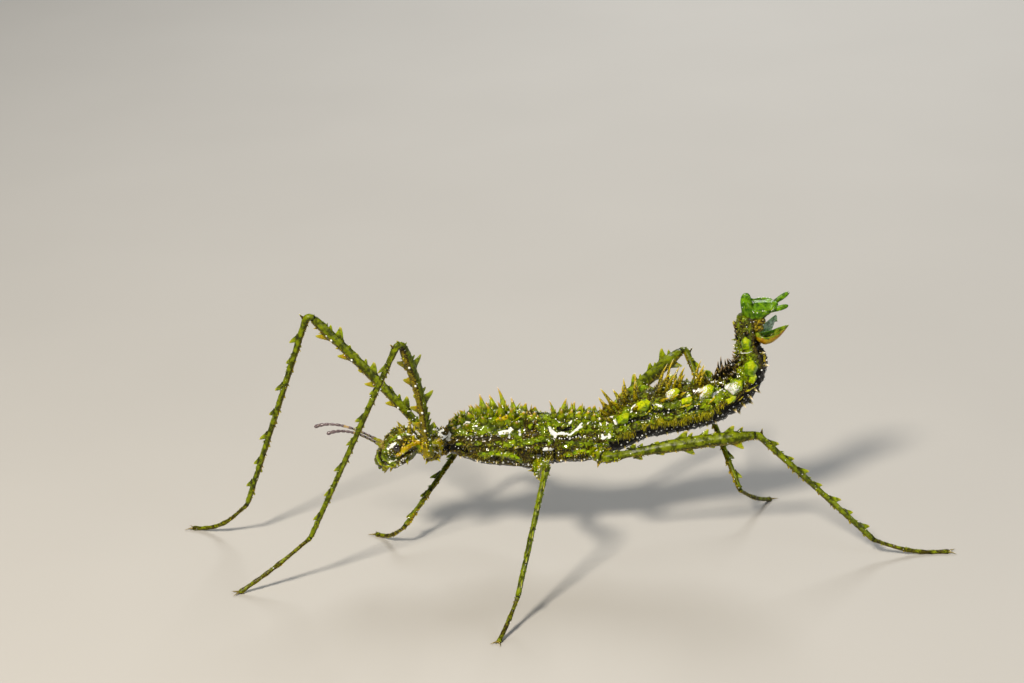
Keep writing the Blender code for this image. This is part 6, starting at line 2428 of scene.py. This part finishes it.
@dataclass
class Studio:
    """Pale floor, soft lights and the camera at the photograph's angle.

    Attributes:
        plan: Turns millimetres into metres.
        elevation: How far the camera looks down, in degrees.
        roll: How far it is turned about its own line, in degrees.
        distance: Of the camera from the animal.
        aim: Height of the picture's middle over the floor.
        lens: Focal length.
        sensor: Width of the sensor.
        lamps_aim: What the lamps face, in metres.
        floor_size: Half width of the floor in metres.
        cloud: Width of the paper's faint clouding in millimetres.
        sky: Colour of the light from all round.
        sky_light: Its strength.
    """

    plan: Plan
    elevation: float = 22.0
    roll: float = 3.5
    distance: float = 400.0
    aim: float = 33.49
    lens: float = 93.75
    sensor: float = 36.0
    lamps_aim: Triple = (0.0, 0.0, 0.02)
    floor_size: float = 3.0
    cloud: float = 55.5556
    sky: str = "#dfe3e6"
    sky_light: float = 0.2

    def camera(self) -> None:
        """Stand the camera where the photograph was taken from."""
        down, roll = math.radians(self.elevation), math.radians(self.roll)
        forward = Vector((0.0, math.cos(down), -math.sin(down)))
        upward = Vector((0.0, math.sin(down), math.cos(down)))
        right = Vector((1.0, 0.0, 0.0))
        across = right * math.cos(roll) - upward * math.sin(roll)
        up = right * math.sin(roll) + upward * math.cos(roll)
        spot = Vector((0.0, 0.0, self.aim)) - forward * self.distance
        data = bpy.data.cameras.new("camera")
        data.lens = self.lens
        data.sensor_width = self.sensor
        data.clip_start = 0.01
        made = bpy.data.objects.new("camera", data)
        bpy.context.scene.collection.objects.link(made)
        matrix = Matrix((across, up, -forward)).transposed().to_4x4()
        matrix.translation = Vector(self.plan.metres(np.array(spot)))
        made.matrix_world = matrix
        bpy.context.scene.camera = made

    def light(self, name: str, lamp: Lamp) -> None:
        """Hang one soft lamp that faces the animal.

        Args:
            name: Its name.
            lamp: Where it hangs, and its light.
        """
        data = bpy.data.lights.new(name, "AREA")
        data.shape = "DISK"
        data.size = lamp.size
        data.energy = lamp.watts
        data.color = linear(lamp.colour)[:3]
        made = bpy.data.objects.new(name, data)
        bpy.context.scene.collection.objects.link(made)
        made.location = lamp.spot
        made.rotation_mode = "QUATERNION"
        aim = Vector(self.lamps_aim) - Vector(lamp.spot)
        made.rotation_quaternion = aim.to_track_quat("-Z", "Y")

    def floor(self) -> bpy.types.Object:
        """Lay a wide sweep of pale matt paper.

        Returns:
            The floor.
        """
        bm = bmesh.new()
        bmesh.ops.create_grid(bm, x_segments=1, y_segments=1, size=self.floor_size)
        mesh = bpy.data.meshes.new("floor")
        bm.to_mesh(mesh)
        bm.free()
        # Uncoated paper: matt, with the faint clouding of its fibres.
        look, add = new_material("matt_paper")
        place = add("TexCoord")["Object"]
        cloud = add("TexNoise", {"Vector": place, "Scale": 1.0 / (self.cloud * MM)})[0]
        colour = add(
            "Mix", {0: cloud, 6: linear("#aaa8a3"), 7: linear("#b1afaa")}, data_type="RGBA")[2]
        shader = add("BsdfPrincipled", {"Base Color": colour, "Roughness": 0.85})[0]
        add("OutputMaterial", {0: shader})
        return new_object("floor", mesh, look)

    def build(self) -> None:
        """Set up floor, lights, sky and camera."""
        self.floor()
        for name, lamp in LAMPS.items():
            self.light(name, lamp)
        bpy.context.scene.view_settings.view_transform = "Standard"
        world = bpy.data.worlds.new("studio")
        bpy.context.scene.world = world
        world.use_nodes = True
        sky = world.node_tree.nodes["Background"]
        sky.inputs[0].default_value = linear(self.sky)
        sky.inputs[1].default_value = self.sky_light
        self.camera()


def finishes() -> Looks:
    """Make every material.

    Returns:
        Materials by the name that the sub-assemblies ask for.
    """
    made = {
        # Soft body wall: grainy and mottled, black in its grooves, glossy with water.
        "skin": WetCuticle("wet_cuticle_body", tip_from=1.2),
        # Horny spines: thin enough to glow a little, ochre to ivory at the tip.
        "spine": WetCuticle(
            "wet_cuticle_spines", mottle=0.8, grain=0.16, bump=0.3, glow=0.1,
            green=("#5c6c00", "#94a400"), tip=("#a8900a", "#d0b48c")),
        # The same horn, golden and pale from the middle on.
        "hook": WetCuticle(
            "wet_cuticle_back_spines", mottle=0.8, grain=0.14, bump=0.25, glow=0.1, tip_from=0.58,
            olive=("#2e2800", "#6e5c04"), green=("#4a5600", "#8c9a00"),
            tip=("#bca418", "#e2d8b0")),
        # Browner horn near the tail, with dull ivory tips.
        "rear": WetCuticle(
            "wet_cuticle_rear_spines", mottle=0.6, grain=0.14, bump=0.25, glow=0.1, tip_from=0.6,
            olive=("#241e00", "#5a4c08"), green=("#3a4400", "#6c7600"),
            tip=("#7a6440", "#c4b69a")),
        # Blunt horn of the belly's edge, bone-coloured for most of its height.
        "tooth": WetCuticle(
            "wet_cuticle_belly_teeth", mottle=0.6, grain=0.14, bump=0.25, glow=0.15, tip_from=0.3,
            tip=("#b0a070", "#ddd2b8")),
        # Fleshy lobes that light comes through: the brightest yellow-green.
        "lobe": WetCuticle(
            "wet_cuticle_lobes", mottle=0.7, grain=0.2, bump=0.3, glow=0.15, tip_from=0.85,
            green=("#4c6a00", "#8caa00"), yellow=("#bccc00", "#bcb400"),
            tip=("#b4b80a", "#c8bc30")),
        # Granules of the body wall: a little paler than the skin between them.
        "grain": WetCuticle(
            "wet_cuticle_grains", mottle=0.7, grain=0.14, bump=0.2, tip_from=1.2, roots=0.6,
            green=("#566400", "#98a404"), olive=("#3c3400", "#7e6a08")),
        # Waxy white granules, and white beads that are painted glints of water drops: chalky, and duller
        # than the skin round them.
        "bead": WetCuticle(
            "chalky_beads", mottle=0.6, grain=0.12, bump=0.15, tip_from=1.2, roughness=0.4,
            roots=0.3),
        # Hair-fine growths like moss leaves, olive at the root and yellow at the tip.
        "moss": WetCuticle(
            "moss_fringe", mottle=0.5, grain=0.12, bump=0.15, tip_from=0.6,
            green=("#626800", "#989804"), olive=("#3c3400", "#7e6e06"),
            tip=("#a09a08", "#b4aa28")),
        # Hard leg wall: darker green, with a thin film and so a broader sheen.
        "leg": WetCuticle(
            "wet_cuticle_legs", mottle=0.9, grain=0.18, bump=0.4, tip_from=1.2,
            film_roughness=0.3, film=0.35,
            green=("#3a4200", "#7c8a00"), yellow=("#8c8400", "#8e7a04")),
        # Thin leafy lobes of the legs, edged with ivory.
        "leg_lobe": WetCuticle(
            "wet_cuticle_leg_lobes", mottle=0.8, grain=0.2, bump=0.25, glow=0.2,
            green=("#4a5400", "#889600"), yellow=("#a09800", "#a88400"),
            tip=("#a09a2c", "#d2ccae"), tip_from=0.62),
        # Slender feeler chitin: greyish pink with green and gold beads.
        "feeler": WetCuticle(
            "feeler_chitin", mottle=0.5, grain=0.1, bump=0.2, tip_from=1.2,
            olive=("#453a3a", "#75666a"), green=("#5a6000", "#8a8a04"),
            yellow=("#a08448", "#ac9260"), white="#aca39c", roots=0.4),
        # Horn of the head's crest, with bone tips.
        "crest": WetCuticle(
            "wet_cuticle_crest", mottle=0.6, grain=0.14, bump=0.25, tip_from=0.66, roots=0.5,
            olive=("#3a3200", "#746408"), tip=("#a89a58", "#dccfb4")),
        # Lens-smooth facets: nearly black, with a sharp wet glint.
        "eye": PlainChitin(
            "eye_facets", ("#100806", "#22110e"), size=0.12, roughness=0.14, film=0.9, bump=0.25),
        # Solid claw horn: amber and half glossy.
        "claw": PlainChitin(
            "claw_horn", ("#5a4a14", "#8a7a2a"), size=0.3, roughness=0.3, film=0.4),
        # Soft mouthparts: plain deep green, without white.
        "mouth": WetCuticle(
            "mouth_chitin", mottle=0.6, grain=0.16, bump=0.3, tip_from=1.2,
            green=("#3a4600", "#6c7e00"), yellow=("#868000", "#a07c04")),
        # Leaf-like tail plate: fresh green that lets light through, with a thin film.
        "tail": WetCuticle(
            "tail_leaf", mottle=0.8, grain=0.2, bump=0.35, glow=0.3, tip_from=1.2,
            film_roughness=0.35, film=0.4,
            green=("#2e5200", "#689200"), yellow=("#8a9a08", "#989a0c"), roots=0.5),
        # Thin horn of the operculum: green over ochre, bluish white inside.
        "operculum": WetCuticle(
            "operculum_horn", mottle=0.7, grain=0.2, bump=0.2, glow=0.25, tip_from=1.2,
            green=("#4a640a", "#7c8c06"), yellow=("#a88a08", "#966a08"), white="#b4c4a6"),
        # Soft skin between the tail's plates: dull green to ochre.
        "fold": WetCuticle(
            "soft_tail_fold", mottle=0.6, grain=0.18, bump=0.3, glow=0.2, tip_from=1.2,
            green=("#4a5a04", "#7c8a08"), yellow=("#8c7c04", "#a08c10"), roots=0.5),
        # A thin sheet of skin: greyish green, and it glows where light comes through.
        "membrane": PlainChitin(
            "thin_tail_membrane", ("#46544a", "#7c9084"), size=0.5, roughness=0.25, film=0.6,
            bump=0.2, glow=0.3),
    }
    return {name: finish.build() for name, finish in made.items()}


# The slot of each piece by the first word of its name.
SLOTS = {
    "body": "trunk", "back": "trunk", "skin": "trunk", "moss": "abdomen",
    "abdomen": "abdomen", "head": "head",
    "loose": "trunk", "bright": "trunk", "rear": "trunk", "crest": "head",
    "leg": "leg", "claws": "tarsus", "antenna": "feeler", "eyeball": "eye", "mouth": "mouth",
    "tail": "tail",
}


def enter(piece: bpy.types.Object) -> None:
    """Let a piece ride on the body, look up its slot without keeping it, and report it.

    Args:
        piece: The piece.
    """
    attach(piece, "root")
    slot = "operculum" if piece.name == "tail_boat" else SLOTS[piece.name.split("_")[0]]
    LOG.info("%s: %d faces", piece.name, len(piece.data.polygons))


def main() -> None:
    """Build the insect's pieces over the frame and the studio round it."""
    logging.basicConfig(level=logging.INFO, format="%(message)s")
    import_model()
    plan = Plan.from_frame()
    looks = finishes()
    chance = random.Random(SEED)
    pieces = Trunk(plan, Skin(Midline()), chance).build(looks)
    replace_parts(pieces["body_skin"], "head", *SPANS)
    face = Face(plan)
    for side in Side:
        eye = face.eye(side, looks["eye"])
        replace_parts(eye, "eye_" + side.name.lower())
        pieces[eye.name] = eye
    pieces["mouth"] = face.mouth(looks["mouth"])
    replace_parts(pieces["mouth"], "mouthparts")
    for name in FEELERS:
        pieces[name] = Feeler(name, plan).build(looks["feeler"])
        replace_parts(pieces[name], name + "_base", name + "_tip")
    for name in LEGS:
        pieces.update(Leg(name, plan, chance).build(looks))
        parts = [part + "_" + name for part in ("coxa", "femur", "tibia", "tarsus")]
        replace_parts(pieces["leg_" + name], *parts)
    pieces.update(Tail(plan).build(looks))
    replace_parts(pieces["tail_plate"], "tail_lobes")
    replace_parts(pieces["tail_boat"], "operculum")
    for piece in pieces.values():
        enter(piece)
    Studio(plan).build()


if __name__ == "__main__":
    main()
